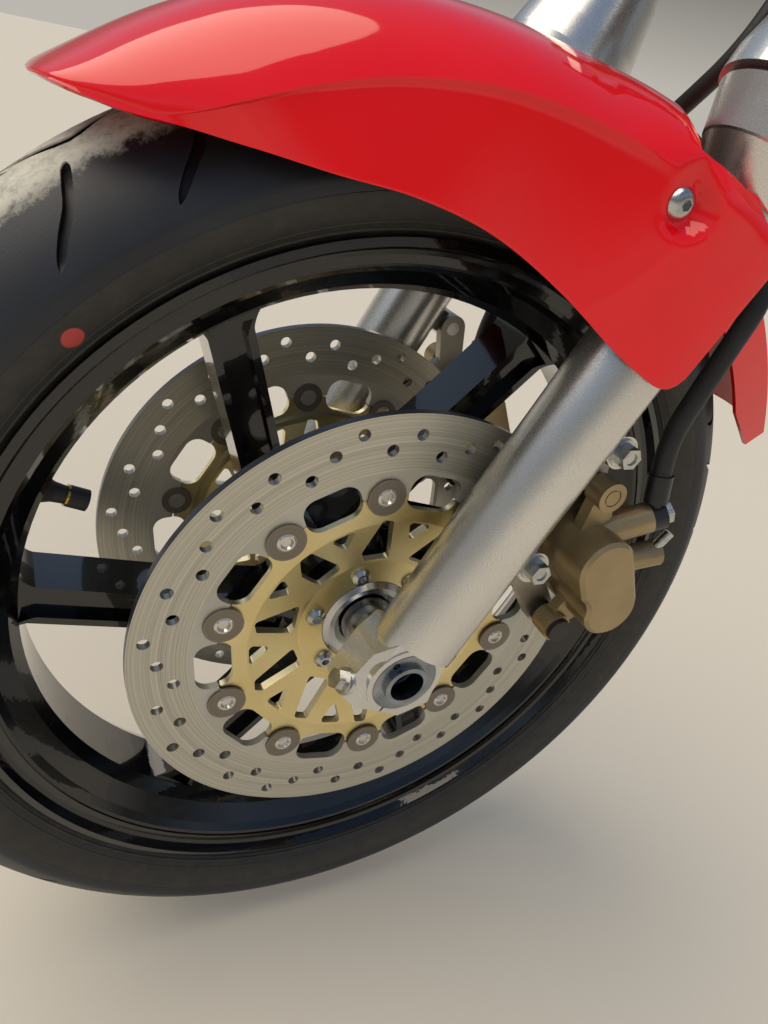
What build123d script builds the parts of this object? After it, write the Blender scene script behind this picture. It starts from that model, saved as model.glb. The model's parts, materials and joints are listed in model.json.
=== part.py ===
"""Front end of a sport touring motorcycle: wheel, twin floating discs, fork, calipers, mudguard.

Millimetres, +X forward, +Y to the rider's left, +Z up.  The origin is the centre of the lower
steering head bearing, where the frame's head tube carries the whole front end.
"""

from build123d import *
from math import cos, radians, sin
import os

os.makedirs("parts", exist_ok=True)

# Steering geometry
RAKE = 25.0
YOKE_OFFSET = 35.0
LEG_SPAN = 207.0
HEAD_TUBE_LENGTH = 150.0

# Tyre and rim, a 120/70-17 on a 3.50 inch rim
TYRE_R = 300.0
TYRE_WIDTH = 119.6
CARCASS = 9.0
BEAD_SEAT_R = 218.3
RIM_FLANGE_R = 232.4
TREAD_EDGE_R = RIM_FLANGE_R + 0.438 * (TYRE_R - RIM_FLANGE_R)
RIM_INSIDE_WIDTH = 88.9
RIM_FLANGE_THICK = 6.0
RIM_WELL_R = 205.0
RIM_WALL = 7.0

# Spokes, swept from the tangent of the hub
SPOKE_COUNT = 6
SPOKE_PHASE = 72.0
SPOKE_SWEEP = 35.0
SPOKE_WIDTH = 25.0
SPOKE_FLARE = 7.0
SPOKE_DEPTH_HUB = 50.0
SPOKE_DEPTH_RIM = 36.0
SPOKE_POCKET = 6.5
SPOKE_RIDGE = 4.5
HUB_R = 50.0
HUB_CORE_HALF = 22.0
HUB_BARREL_R = 38.0
HUB_FLANGE_R = 45.0
HUB_FLANGE_THICK = 7.0
HUB_BORE_R = 17.0
VALVE_ANGLE = 21.0
VALVE_R = 4.2
VALVE_LENGTH = 27.0
VALVE_CAP_R = 6.3
VALVE_CAP_LENGTH = 11.0
VALVE_CAP_SIDES = 16

# Wheel bearings, axle and spacers
BEARING_R = 21.0
BEARING_WIDTH = 9.0
RUNNING = 0.05
AXLE_R = 12.5
AXLE_BORE_R = 9.6
AXLE_END_R = 13.3
AXLE_MOUTH_R = 10.4
AXLE_MOUTH_DEPTH = 14.0
AXLE_COLLAR_R = 19.8
AXLE_COLLAR_THICK = 4.6
AXLE_END_Y = 120.8
SPACER_R = 17.3
SEAL_GAP = 0.4

# Brake discs
DISC_R = 148.0
DISC_FACE_Y = 70.4
DISC_THICK = 5.0
BOBBIN_COUNT = 10
BOBBIN_PHASE = 83.5
BOBBIN_CIRCLE_R = 97.9
BOBBIN_R = 8.2
BOBBIN_WASHER_R = 11.6
BOBBIN_WASHER_THICK = 1.5
BOBBIN_EYE_R = 5.4
BOBBIN_GAP = 0.2
JOINT_GAP = 1.0
SCOOP_OUTER_R = 110.5
SCOOP_INNER_R = 88.0
SCOOP_LENGTH = 34.0
SCOOP_CORNER = 9.0
HOLE_R = 3.6
# One group of drilled holes follows each bobbin: (degrees past the group's start, circle radius)
HOLE_GROUP = [(0.0, 122.6), (7.2, 131.0), (14.4, 139.0), (21.6, 126.7), (28.8, 135.2)]
HOLE_PHASE = 62.5

# Disc carriers, dished towards the hub
CARRIER_FACE_Y = 69.6
CARRIER_THICK = 4.0
CARRIER_FLANGE_Y = 60.0
CARRIER_FLANGE_THICK = 5.0
CARRIER_FLANGE_R = 46.0
CARRIER_DISH_R = 80.0
CARRIER_WEB = 6.0
CARRIER_BORE_R = 30.2
COLLAR_R = 29.8
COLLAR_BORE_R = 18.3
COLLAR_FACE_Y = 62.0
DISC_BOLT_COUNT = 6
DISC_BOLT_PHASE = 13.0
DISC_BOLT_CIRCLE_R = 37.0
DISC_BOLT_HEAD_R = 6.3
DISC_BOLT_HEAD = 4.2
DISC_BOLT_SHANK_R = 4.0
# Windows under the bobbins, over half a turn, then repeated: corners as (radius, degrees from the bobbin)
BOBBIN_WINDOWS = [
    [(81.9, 0.0), (80.4, 4.9), (48.5, 12.8), (48.5, -6.9), (56.8, -8.9)],
    [(80.2, -1.7), (80.0, 3.9), (54.7, 11.7), (49.7, 11.1), (48.9, -6.9), (67.9, -7.2)],
    [(79.4, 0.6), (51.7, 10.5), (48.5, -9.1), (52.1, -12.7), (75.6, -5.2)],
    [(78.0, 2.9), (49.7, 7.8), (50.1, -11.7), (76.5, -5.5), (80.3, -2.0)],
    [(78.8, 3.4), (77.4, -3.8), (49.6, -8.6), (51.6, 11.0)],
]
# Small triangles between them: (outer radius, half width there, inner radius, lean) in mm and degrees
GAP_WINDOWS = (79.0, 5.8, 63.5, 0.5)
WINDOW_CORNER = 2.2

# Fork legs
TUBE_R = 21.5
TUBE_BORE_R = 18.5
TUBE_FOOT_S = 140.0
SEAT_GROOVE = 2.0
SEAT_GROOVE_DEPTH = 1.0
SLIDER_R = 24.3
SLIDER_FLARE_S = TYRE_R + 1
SLIDER_SHOULDER_R = 42.0
SLIDER_SHOULDER_S = SLIDER_FLARE_S + 42
SLIDER_BORE_CLEAR = 0.1
COVER_R = 44.5
COVER_BASE_S = SLIDER_SHOULDER_S + 3
COVER_TOP_S = COVER_BASE_S + 94
COVER_TOP_R = 27.0
FOOT_HALF_WIDTH = 19.0
FOOT_FACE_Y = 116.5
FOOT_TOP_S = 22.8
FOOT_SEAT_AHEAD = 26.5
FOOT_BLANK = (120.0, 40.0)
# Foot seen from the side: (ahead of the axle, up the leg)
FOOT_OUTLINE = [
    (-16.5, 22.8),
    (-20, 15.5),
    (-27, -10),
    (-13, -24),
    (22.5, -24.5),
    (FOOT_SEAT_AHEAD, -24.5),
    (FOOT_SEAT_AHEAD, -9),
    (25.5, 8),
    (20.5, 22.8),
]
# The front corner of the foot is cut back from its face: (ahead of the axle, across)
FOOT_CHAMFER = [(21, FOOT_FACE_Y), (29, 104), (29, FOOT_FACE_Y)]
AXLE_RECESS = 4.4
FOOT_R = 23.6
FOOT_BOSS_Y = 117.3
PINCH_BOLT_R = 3.2
PINCH_BOSS_R = 8.6
PINCH_HEAD_R = 6.3
PINCH_WASHER_R = 7.6
PINCH_WASHER = 1.8
PINCH_HEAD = 6.0
PINCH_REACH = 28.0
PINCH_S = -17.4
CLAMP_CUT = 1.6

# Yokes and stem, heights measured up the leg from the axle
YOKE_RING_R = 31.0
LOWER_YOKE_S = COVER_TOP_S + 34
LOWER_YOKE_THICK = 36.0
LOWER_YOKE_BOSS_R = 30.0
AXLE_TO_BEARING = LOWER_YOKE_S + LOWER_YOKE_THICK + 10
TOP_YOKE_S = AXLE_TO_BEARING + HEAD_TUBE_LENGTH + 18
TOP_YOKE_THICK = 22.0
TOP_YOKE_BOSS_R = 26.0
SEAT_GROOVE_S = TOP_YOKE_S + TOP_YOKE_THICK + 1
TUBE_TOP_S = SEAT_GROOVE_S + 27
YOKE_CUT = 2.5
# Ears behind each leg that the yoke's clamp bolts pull together
YOKE_EAR_DEPTH = 15.0
YOKE_EAR_WIDTH = 24.0
YOKE_BOLT_AHEAD = -38.0
YOKE_BOLT_R = 3.0
YOKE_BOLT_HEAD_R = 5.0
YOKE_BOLT_HEAD = 6.0
YOKE_BOLT_APART = 18.0
STEM_R = 15.0
STEM_BORE_R = 10.0
BEARING_OD_R = 27.5
HEAD_BEARING_THICK = 16.0
STEM_NUT_R = 16.0
STEM_NUT_THICK = 9.0

# Brake calipers, two pistons in line behind the leg
CALIPER_ANGLE = 153.2
CALIPER_R = 132.8
PISTON_SPACING = 35.4
PISTON_BOSS_R = 18.7
WAIST_ALONG = -6.0
WAIST_R = 14.0
WAIST_DEPTH = 2.8
WAIST_CORNER = 5.0
CAP_CHAMFER = 2.2
CALIPER_FACE_Y = 129.5
CALIPER_BACK_Y = 80.0
BRIDGE_HALF_LENGTH = 36.0
BRIDGE_IN = 17.5
BRIDGE_OUT = 38.0
FINGER_Y = 47.0
FINGER_THICK = 12.0
PAD_GAP = 0.35
BRACKET_Y = 87.0
BRACKET_THICK = 7.5
UPPER_PIN = (53.3, 16.8)
LOWER_PIN = (-28.4, -30.1)
BRACKET_ELBOW = (48.0, -18.0)
PIN_R = 4.5
PIN_END_GAP = 1.0
EAR_R = 9.4
EAR_THICK = 14.0
EAR_END_WALL = 4.0
EAR_WEB = 8.0
EAR_WEB_R = (6.5, 13.0)
PLUG_R = 5.6
BOOT_LENGTH = 5.0
BOOT_R = 7.5
PIN_CAP_R = 8.0
PIN_CAP_THICK = 3.5
LUG_S = (93.4, 174.5)
LUG_AHEAD = -34.0
LUG_R = 10.0
LUG_HALF = 9.0
LUG_BOLT_R = 5.0
LUG_BOLT_HEAD_R = 6.6
LUG_BOLT_HEAD = 6.5
LUG_WASHER_R = 8.6
LUG_WASHER = 1.6
# Bosses behind the pistons, from their root to their end (ahead, across, up) from the axle
INLET_BOSS = ((-116.0, 104.0, 86.0), (-147.0, 110.0, 98.0))
INLET_BOSS_R = 9.6
BLEED_BOSS = ((-136.0, 106.0, 64.0), (-167.0, 110.0, 71.0))
BLEED_BOSS_R = 8.4
BLEED_NIPPLE = ((-161.0, 110.5, 72.0), (-168.0, 112.5, 87.0))
BLEED_NIPPLE_R = 3.3

# Mudguard
GUARD_WALL = 3.0
GUARD_BOLT_S = TYRE_R - 21
GUARD_BOLT_AHEAD = 46.0
GUARD_BOLT_R = 4.0
GUARD_BOSS_R = 9.0
GUARD_BOSS_Y = 115.5
GUARD_DISH = (9.5, 27.0, 14.0)
GUARD_FAR_Y = 165.0
LEG_NOTCH_R = 54.0
LEG_CLEAR = 3.0
LEG_HOLE_DEPTH = 22.0
LEG_NOTCH_S = SLIDER_FLARE_S - 1
LEG_NOTCH_TOP_S = COVER_TOP_S
# Sections: angle round the wheel, the crown's height over the tyre, then the shoulder, the widest
# place and the edge, each as (across, height over the tyre)
GUARD_SECTIONS = [
    (57.0, 27.0, 24.0, 26.5, 33.0, 25.5, 38.0, 23.0),
    (63.0, 34.0, 42.0, 27.0, 56.0, 15.0, 61.0, 0.0),
    (75.0, 38.0, 50.0, 26.0, 68.0, 4.0, 73.0, -33.0),
    (89.0, 40.0, 60.0, 25.0, 82.0, -2.0, 85.0, -54.0),
    (99.0, 40.0, 78.0, 20.0, 106.0, -6.0, 107.0, -71.0),
    (108.0, 37.0, 92.0, 17.0, 130.0, -10.0, 128.0, -85.0),
    (118.0, 34.0, 94.0, 16.0, 134.0, -11.0, 134.0, -89.0),
]
REAR_GUARD_HEIGHT = 30.7
REAR_GUARD_SHOULDER = 18.7
REAR_GUARD_EDGE = -14.0
REAR_GUARD_HALF = 62.0
REAR_GUARD_LEAN = 6.0
REAR_GUARD_FROM = 115.0
REAR_GUARD_TO = 156.5
# The lower rear corner is cut to a point: (height over the tyre, angle)
REAR_GUARD_CUT = [(-20.0, 145.0), (-1.0, 156.6), (-1.0, 162.0), (-60.0, 158.0), (-60.0, 145.0)]

# Brake hoses
HOSE_R = 6.0
# The left hose, from the caliper up behind the leg to the splitter: (ahead, across, up the leg)
HOSE_ROUTE = [
    (-86.0, 110.0, 163.0),
    (-69.0, 104.0, 195.0),
    (-64.0, 103.0, 240.0),
    (-62.0, 100.0, TYRE_R - 10),
    (-58.0, 50.0, TYRE_R + 62),
    (-46.0, 14.0, TYRE_R + 105),
]
BANJO_R = 9.2
BANJO_THICK = 9.0
BANJO_BOLT_R = 7.0
BANJO_BOLT_HEAD = 5.0
FERRULE_R = 7.4
FERRULE_LENGTH = 15.0
FERRULE_NECK_R = 4.6
SPLITTER_AHEAD = -46.0
SPLITTER_S = LOWER_YOKE_S - 12
SPLITTER_SIZE = (24.0, 46.0, 18.0)
INLET_R = 5.0
INLET_DEPTH = 12.0

UP = Vector(-sin(radians(RAKE)), 0, cos(radians(RAKE)))
AHEAD = Vector(cos(radians(RAKE)), 0, sin(radians(RAKE)))
AXLE = AHEAD * YOKE_OFFSET - UP * AXLE_TO_BEARING
LEG = Plane(origin=AXLE, x_dir=AHEAD, z_dir=UP)
STEM = Plane(origin=(0, 0, 0), x_dir=AHEAD, z_dir=UP)
LEG_Y = LEG_SPAN / 2


def on_wheel(shape):
    """Place a shape that was drawn round the wheel's own centre."""
    return Pos(AXLE) * shape


def on_leg(shape):
    """Place a shape drawn with X ahead of the leg, Y left and Z up the leg from the axle."""
    return LEG.location * shape


def turned(profile, axis=Axis.Y):
    """Revolve closed (radius, height) points round the wheel's axis or, with Axis.Z, the leg's."""
    base = Plane.XY if axis == Axis.Y else Plane.XZ
    return revolve(base * make_face(Polyline(*profile, close=True)), axis)


def slab(sketch, low_y, high_y):
    """Extrude a sketch of (x, z) points across the wheel's width."""
    return Pos(0, high_y, 0) * extrude(Plane.XZ * sketch, high_y - low_y)


def rod(radius, low_y, high_y, x=0.0, z=0.0):
    """A round bar across the wheel's width."""
    return Pos(x, high_y, z) * extrude(Plane.XZ * Circle(radius), high_y - low_y)


def post(radius, low, high, x=0.0, y=0.0):
    """A round bar up the leg."""
    return Pos(x, y, low) * extrude(Circle(radius), high - low)


def polar(radius, angle):
    """A point in the wheel's plane."""
    return (radius * cos(radians(angle)), radius * sin(radians(angle)))


def other_side(shape):
    """The right hand copy of a left hand shape."""
    return mirror(shape, Plane.XZ)


def both_sides(shape):
    """A left hand shape and its right hand copy in one node."""
    return Compound([*shape.solids(), *other_side(shape).solids()])


def save(shape, name):
    """Write one node."""
    export_step(shape, f"parts/{name}.step")


def tyre():
    half_rim = RIM_INSIDE_WIDTH / 2
    half = TYRE_WIDTH / 2
    bead = [
        (BEAD_SEAT_R, half_rim - 13),
        (BEAD_SEAT_R, half_rim),
        (RIM_FLANGE_R - 2.4, half_rim),
        (RIM_FLANGE_R, half_rim + 1.6),
        (RIM_FLANGE_R + 4, half_rim + 6),
    ]
    wall_out = (TREAD_EDGE_R, half)
    wall_in = (TREAD_EDGE_R - 4, half - CARCASS)
    inner_foot = (BEAD_SEAT_R + 9, half_rim - 8)

    def flip(point):
        return (point[0], -point[1])

    crown_out = (TYRE_R, 0)
    crown_in = (TYRE_R - CARCASS, 0)
    mid_out = (TYRE_R - 10.7, half * 0.6)
    mid_in = (TYRE_R - CARCASS - 9.5, half * 0.5)
    edges = [
        Polyline(*bead),
        ThreePointArc(bead[-1], (bead[-1][0] + 12, half - 1.6), wall_out),
        ThreePointArc(wall_out, mid_out, crown_out),
        ThreePointArc(crown_out, flip(mid_out), flip(wall_out)),
        ThreePointArc(flip(wall_out), (bead[-1][0] + 12, -half + 1.6), flip(bead[-1])),
        Polyline(*[flip(point) for point in reversed(bead)]),
        Line(flip(bead[0]), flip(inner_foot)),
        Line(flip(inner_foot), flip(wall_in)),
        ThreePointArc(flip(wall_in), flip(mid_in), crown_in),
        ThreePointArc(crown_in, mid_in, wall_in),
        Line(wall_in, inner_foot),
        Line(inner_foot, bead[0]),
    ]
    return revolve(make_face(edges), Axis.Y)


def rim():
    half = RIM_INSIDE_WIDTH / 2
    face = half + RIM_FLANGE_THICK
    outside = [
        (RIM_FLANGE_R, face),
        (RIM_FLANGE_R, half + 1.6),
        (RIM_FLANGE_R - 2.4, half),
        (BEAD_SEAT_R, half),
        (BEAD_SEAT_R, half - 13),
        (RIM_WELL_R, half - 24),
    ]
    inside = [
        (RIM_FLANGE_R - 4.4, face + 0.6),
        (RIM_FLANGE_R - 7, half + 1),
        (BEAD_SEAT_R - 2, half - 2.5),
        (BEAD_SEAT_R - 5.5, half - 7),
        (RIM_WELL_R - 2, half - 17),
        (RIM_WELL_R - RIM_WALL, half - 26),
    ]
    profile = outside
    profile = profile + [(r, -y) for r, y in reversed(outside)]
    profile = profile + [(r, -y) for r, y in inside]
    profile = profile + [(r, y) for r, y in reversed(inside)]
    return turned(profile)


def hub():
    face = CARRIER_FLANGE_Y - CARRIER_FLANGE_THICK
    half = [
        (HUB_BORE_R, 0),
        (HUB_BORE_R, face - BEARING_WIDTH - 2),
        (BEARING_R, face - BEARING_WIDTH - 2),
        (BEARING_R, face),
        (HUB_FLANGE_R, face),
        (HUB_FLANGE_R, face - HUB_FLANGE_THICK),
        (HUB_BARREL_R, face - HUB_FLANGE_THICK - 5),
        (HUB_BARREL_R, HUB_CORE_HALF + 10),
        (HUB_R, HUB_CORE_HALF),
        (HUB_R, 0),
    ]
    upper = turned(half)
    return upper + mirror(upper, Plane.XZ)


def spoke_outline(width, flare, reach):
    """A straight spoke along +X from the hub's tangent, widened by arcs at the rim."""
    root = width / 2
    edge = Polyline((0, -root), (reach - flare, -root))
    top = Polyline((reach - flare, root), (0, root))
    flare_low = ThreePointArc(
        (reach - flare, -root), (reach - flare * 0.3, -root - flare * 0.3), (reach + 4, -root - flare)
    )
    flare_high = ThreePointArc(
        (reach + 4, root + flare), (reach - flare * 0.3, root + flare * 0.3), (reach - flare, root)
    )
    return make_face(
        [
            edge,
            flare_low,
            Line((reach + 4, -root - flare), (reach + 4, root + flare)),
            flare_high,
            top,
            Line((0, root), (0, -root)),
        ]
    )


def spokes():
    rim_r = RIM_WELL_R - RIM_WALL
    reach = (rim_r**2 - SPOKE_SWEEP**2) ** 0.5
    solid = Pos(0, -SPOKE_SWEEP) * spoke_outline(SPOKE_WIDTH, SPOKE_FLARE, reach)
    pocket_width = SPOKE_WIDTH - 2 * SPOKE_RIDGE
    pocket = Pos(HUB_R * 0.75, -SPOKE_SWEEP) * spoke_outline(
        pocket_width, SPOKE_FLARE * 0.7, reach - HUB_R * 0.75 - 6
    )
    depth = SPOKE_DEPTH_HUB / 2
    envelope = turned(
        [
            (HUB_BORE_R + 4, depth),
            (HUB_R, depth),
            (rim_r * 0.6, SPOKE_DEPTH_RIM / 2),
            (rim_r + 2, SPOKE_DEPTH_RIM / 2),
            (rim_r + 2, -SPOKE_DEPTH_RIM / 2),
            (rim_r * 0.6, -SPOKE_DEPTH_RIM / 2),
            (HUB_R, -depth),
            (HUB_BORE_R + 4, -depth),
        ]
    )
    core = turned(
        [
            (HUB_R - 4, depth - SPOKE_POCKET),
            (HUB_R, depth - SPOKE_POCKET),
            (rim_r * 0.6, SPOKE_DEPTH_RIM / 2 - SPOKE_POCKET),
            (rim_r + 3, SPOKE_DEPTH_RIM / 2 - SPOKE_POCKET),
            (rim_r + 3, SPOKE_POCKET - SPOKE_DEPTH_RIM / 2),
            (rim_r * 0.6, SPOKE_POCKET - SPOKE_DEPTH_RIM / 2),
            (HUB_R, SPOKE_POCKET - depth),
            (HUB_R - 4, SPOKE_POCKET - depth),
        ]
    )
    one = slab(solid, -depth, depth) & envelope
    groove = slab(pocket, -depth - 1, depth + 1) - core
    one = one - groove
    step = 360 / SPOKE_COUNT
    return [Rot(0, -(SPOKE_PHASE + step * index), 0) * one for index in range(SPOKE_COUNT)]


def wheel_casting():
    wheel = rim() + hub()
    for one in spokes():
        wheel = wheel + one
    wheel = wheel - rod(HUB_BORE_R, -HUB_CORE_HALF - 9, HUB_CORE_HALF + 9)
    face = CARRIER_FLANGE_Y - CARRIER_FLANGE_THICK
    for index in range(DISC_BOLT_COUNT):
        x, z = polar(DISC_BOLT_CIRCLE_R, DISC_BOLT_PHASE + index * 360 / DISC_BOLT_COUNT)
        wheel = wheel - rod(DISC_BOLT_SHANK_R, face - 14, face + 1, x, z)
        wheel = wheel - rod(DISC_BOLT_SHANK_R, -face - 1, 14 - face, x, z)
    return wheel - valve_hole()


def valve_axis(shape):
    """Place a post so that it points from the rim towards the hub at the valve."""
    x, z = polar(1, VALVE_ANGLE)
    plane = Plane(origin=(0, 0, 0), x_dir=(0, 1, 0), z_dir=(x, 0, z))
    return plane.location * shape


def valve_hole():
    return valve_axis(post(VALVE_R, RIM_WELL_R - RIM_WALL - 4, RIM_WELL_R + 4))


def valve_stem():
    """Rubber foot, stem and knurled cap, drawn by their distance from the axle."""
    rim_r = RIM_WELL_R - RIM_WALL
    tip = rim_r - VALVE_LENGTH
    profile = [
        (0, RIM_WELL_R + 1),
        (VALVE_R, RIM_WELL_R + 1),
        (VALVE_R, rim_r - 0.3),
        (VALVE_R + 4.2, rim_r - 0.3),
        (VALVE_R + 3.6, rim_r - 2.5),
        (VALVE_R + 1.6, rim_r - 8),
        (VALVE_R + 0.8, tip + VALVE_CAP_LENGTH),
        (0, tip + VALVE_CAP_LENGTH),
    ]
    cap = Pos(0, 0, tip) * extrude(RegularPolygon(VALVE_CAP_R, VALVE_CAP_SIDES), VALVE_CAP_LENGTH)
    cap = cap - post(2.6, tip - 1, tip + 1)
    return valve_axis(turned(profile, Axis.Z) + cap)


def wheel_bearings():
    face = CARRIER_FLANGE_Y - CARRIER_FLANGE_THICK
    outer = face - 2
    ring = rod(BEARING_R, outer - BEARING_WIDTH, outer)
    ring = ring - rod(AXLE_R + RUNNING, outer - BEARING_WIDTH - 1, outer + 1)
    return both_sides(ring)


def dust_seals():
    face = CARRIER_FLANGE_Y - CARRIER_FLANGE_THICK
    ring = rod(BEARING_R, face - 1.8, face)
    ring = ring - rod(SPACER_R + SEAL_GAP, face - 3, face + 1)
    return both_sides(ring)


def hub_collars():
    face = CARRIER_FLANGE_Y - CARRIER_FLANGE_THICK
    profile = [
        (COLLAR_BORE_R, face),
        (COLLAR_R, face),
        (COLLAR_R, COLLAR_FACE_Y - 2),
        (COLLAR_R - 3.5, COLLAR_FACE_Y),
        (COLLAR_BORE_R + 4, COLLAR_FACE_Y - 1),
        (COLLAR_BORE_R, COLLAR_FACE_Y - 4),
    ]
    return both_sides(turned(profile))


def scoops():
    """Rounded slots that straddle the joint of ring and carrier between the bobbins."""
    middle = (SCOOP_OUTER_R + SCOOP_INNER_R) / 2
    slot = RectangleRounded(SCOOP_OUTER_R - SCOOP_INNER_R, SCOOP_LENGTH, SCOOP_CORNER)
    step = 360 / BOBBIN_COUNT
    return [
        Rot(0, 0, BOBBIN_PHASE + step * (index + 0.5)) * Pos(middle, 0) * slot
        for index in range(BOBBIN_COUNT)
    ]


def bobbin_places():
    step = 360 / BOBBIN_COUNT
    return [polar(BOBBIN_CIRCLE_R, BOBBIN_PHASE + step * index) for index in range(BOBBIN_COUNT)]


def disc_ring():
    face = Circle(DISC_R) - Circle(BOBBIN_CIRCLE_R + JOINT_GAP / 2)
    face = face - scoops()
    face = face - [Pos(x, z) * Circle(BOBBIN_R + BOBBIN_GAP) for x, z in bobbin_places()]
    holes = []
    for group in range(BOBBIN_COUNT):
        for past, radius in HOLE_GROUP:
            x, z = polar(radius, HOLE_PHASE + group * 360 / BOBBIN_COUNT + past)
            holes.append(Pos(x, z) * Circle(HOLE_R))
    return slab(face - holes, DISC_FACE_Y - DISC_THICK, DISC_FACE_Y)


def window(points):
    """A window with rounded corners from points given as (radius, degrees)."""
    outline = make_face(Polyline(*[polar(r, a) for r, a in points], close=True))
    return fillet(outline.vertices(), WINDOW_CORNER)


def carrier_windows():
    step = 360 / BOBBIN_COUNT
    cuts = []
    outer_r, half, inner_r, lean = GAP_WINDOWS
    for index in range(BOBBIN_COUNT):
        at = BOBBIN_PHASE - step * index
        corners = BOBBIN_WINDOWS[index % len(BOBBIN_WINDOWS)]
        cuts.append(window([(radius, at + past) for radius, past in corners]))
        gap = at - step / 2 + lean
        cuts.append(window([(outer_r, gap - half), (outer_r, gap + half), (inner_r, gap)]))
    return cuts


def disc_carrier():
    back = CARRIER_FLANGE_Y - CARRIER_FLANGE_THICK
    edge = BOBBIN_CIRCLE_R - JOINT_GAP / 2
    profile = [
        (CARRIER_BORE_R, back),
        (CARRIER_FLANGE_R, back),
        (CARRIER_DISH_R, CARRIER_FACE_Y - CARRIER_WEB),
        (CARRIER_DISH_R + 4, CARRIER_FACE_Y - CARRIER_WEB),
        (CARRIER_DISH_R + 6, CARRIER_FACE_Y - CARRIER_THICK),
        (edge, CARRIER_FACE_Y - CARRIER_THICK),
        (edge, CARRIER_FACE_Y),
        (CARRIER_DISH_R, CARRIER_FACE_Y),
        (CARRIER_FLANGE_R, CARRIER_FLANGE_Y),
        (CARRIER_BORE_R, CARRIER_FLANGE_Y),
    ]
    cuts = carrier_windows() + scoops()
    cuts = cuts + [Pos(x, z) * Circle(BOBBIN_R + BOBBIN_GAP) for x, z in bobbin_places()]
    for index in range(DISC_BOLT_COUNT):
        x, z = polar(DISC_BOLT_CIRCLE_R, DISC_BOLT_PHASE + index * 360 / DISC_BOLT_COUNT)
        cuts.append(Pos(x, z) * Circle(DISC_BOLT_SHANK_R))
    carrier = turned(profile)
    for cut in cuts:
        carrier = carrier - slab(cut, back - 1, CARRIER_FACE_Y + 1)
    return carrier


def disc_bobbins():
    back = DISC_FACE_Y - DISC_THICK
    profile = [
        (0, back - 1.4),
        (BOBBIN_WASHER_R - 1.5, back - 1.4),
        (BOBBIN_WASHER_R - 1.5, back),
        (BOBBIN_R, back),
        (BOBBIN_R, DISC_FACE_Y),
        (BOBBIN_WASHER_R, DISC_FACE_Y),
        (BOBBIN_WASHER_R, DISC_FACE_Y + BOBBIN_WASHER_THICK),
        (BOBBIN_EYE_R, DISC_FACE_Y + BOBBIN_WASHER_THICK),
        (BOBBIN_EYE_R - 0.8, DISC_FACE_Y + BOBBIN_WASHER_THICK + 0.8),
        (BOBBIN_EYE_R - 1.6, DISC_FACE_Y + BOBBIN_WASHER_THICK + 0.8),
        (BOBBIN_EYE_R - 2.6, DISC_FACE_Y + 0.6),
        (0, DISC_FACE_Y + 0.6),
    ]
    one = turned(profile)
    return Compound([Pos(x, 0, z) * one for x, z in bobbin_places()])


def disc_bolts():
    seat = CARRIER_FLANGE_Y
    profile = [
        (0, seat - 16),
        (DISC_BOLT_SHANK_R, seat - 16),
        (DISC_BOLT_SHANK_R, seat),
        (DISC_BOLT_HEAD_R, seat),
        (DISC_BOLT_HEAD_R - 0.4, seat + DISC_BOLT_HEAD * 0.5),
        (DISC_BOLT_HEAD_R - 2.6, seat + DISC_BOLT_HEAD),
        (2.4, seat + DISC_BOLT_HEAD),
        (2.4, seat + DISC_BOLT_HEAD - 2.6),
        (0, seat + DISC_BOLT_HEAD - 2.6),
    ]
    one = turned(profile)
    places = [
        polar(DISC_BOLT_CIRCLE_R, DISC_BOLT_PHASE + index * 360 / DISC_BOLT_COUNT)
        for index in range(DISC_BOLT_COUNT)
    ]
    return both_sides(Compound([Pos(x, 0, z) * one for x, z in places]))


def axle():
    inner_end = FOOT_BOSS_Y - AXLE_RECESS
    shaft = rod(AXLE_R, -AXLE_END_Y + 4, inner_end)
    head = rod(AXLE_END_R, inner_end - 26, AXLE_END_Y)
    collar = rod(AXLE_COLLAR_R, inner_end, inner_end + AXLE_COLLAR_THICK)
    whole = shaft + head + collar - rod(AXLE_BORE_R, -AXLE_END_Y, AXLE_END_Y + 1)
    whole = whole - rod(AXLE_MOUTH_R, AXLE_END_Y - AXLE_MOUTH_DEPTH, AXLE_END_Y + 1)
    x, z = polar(16.2, 60)
    return whole - rod(2.2, inner_end, AXLE_END_Y, x, z)


def axle_spacers():
    inner = CARRIER_FLANGE_Y - CARRIER_FLANGE_THICK - 2 + 0.3
    outer = LEG_Y - FOOT_HALF_WIDTH
    ring = rod(SPACER_R, inner, outer) - rod(AXLE_R + RUNNING, inner - 1, outer + 1)
    return both_sides(ring)


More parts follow.
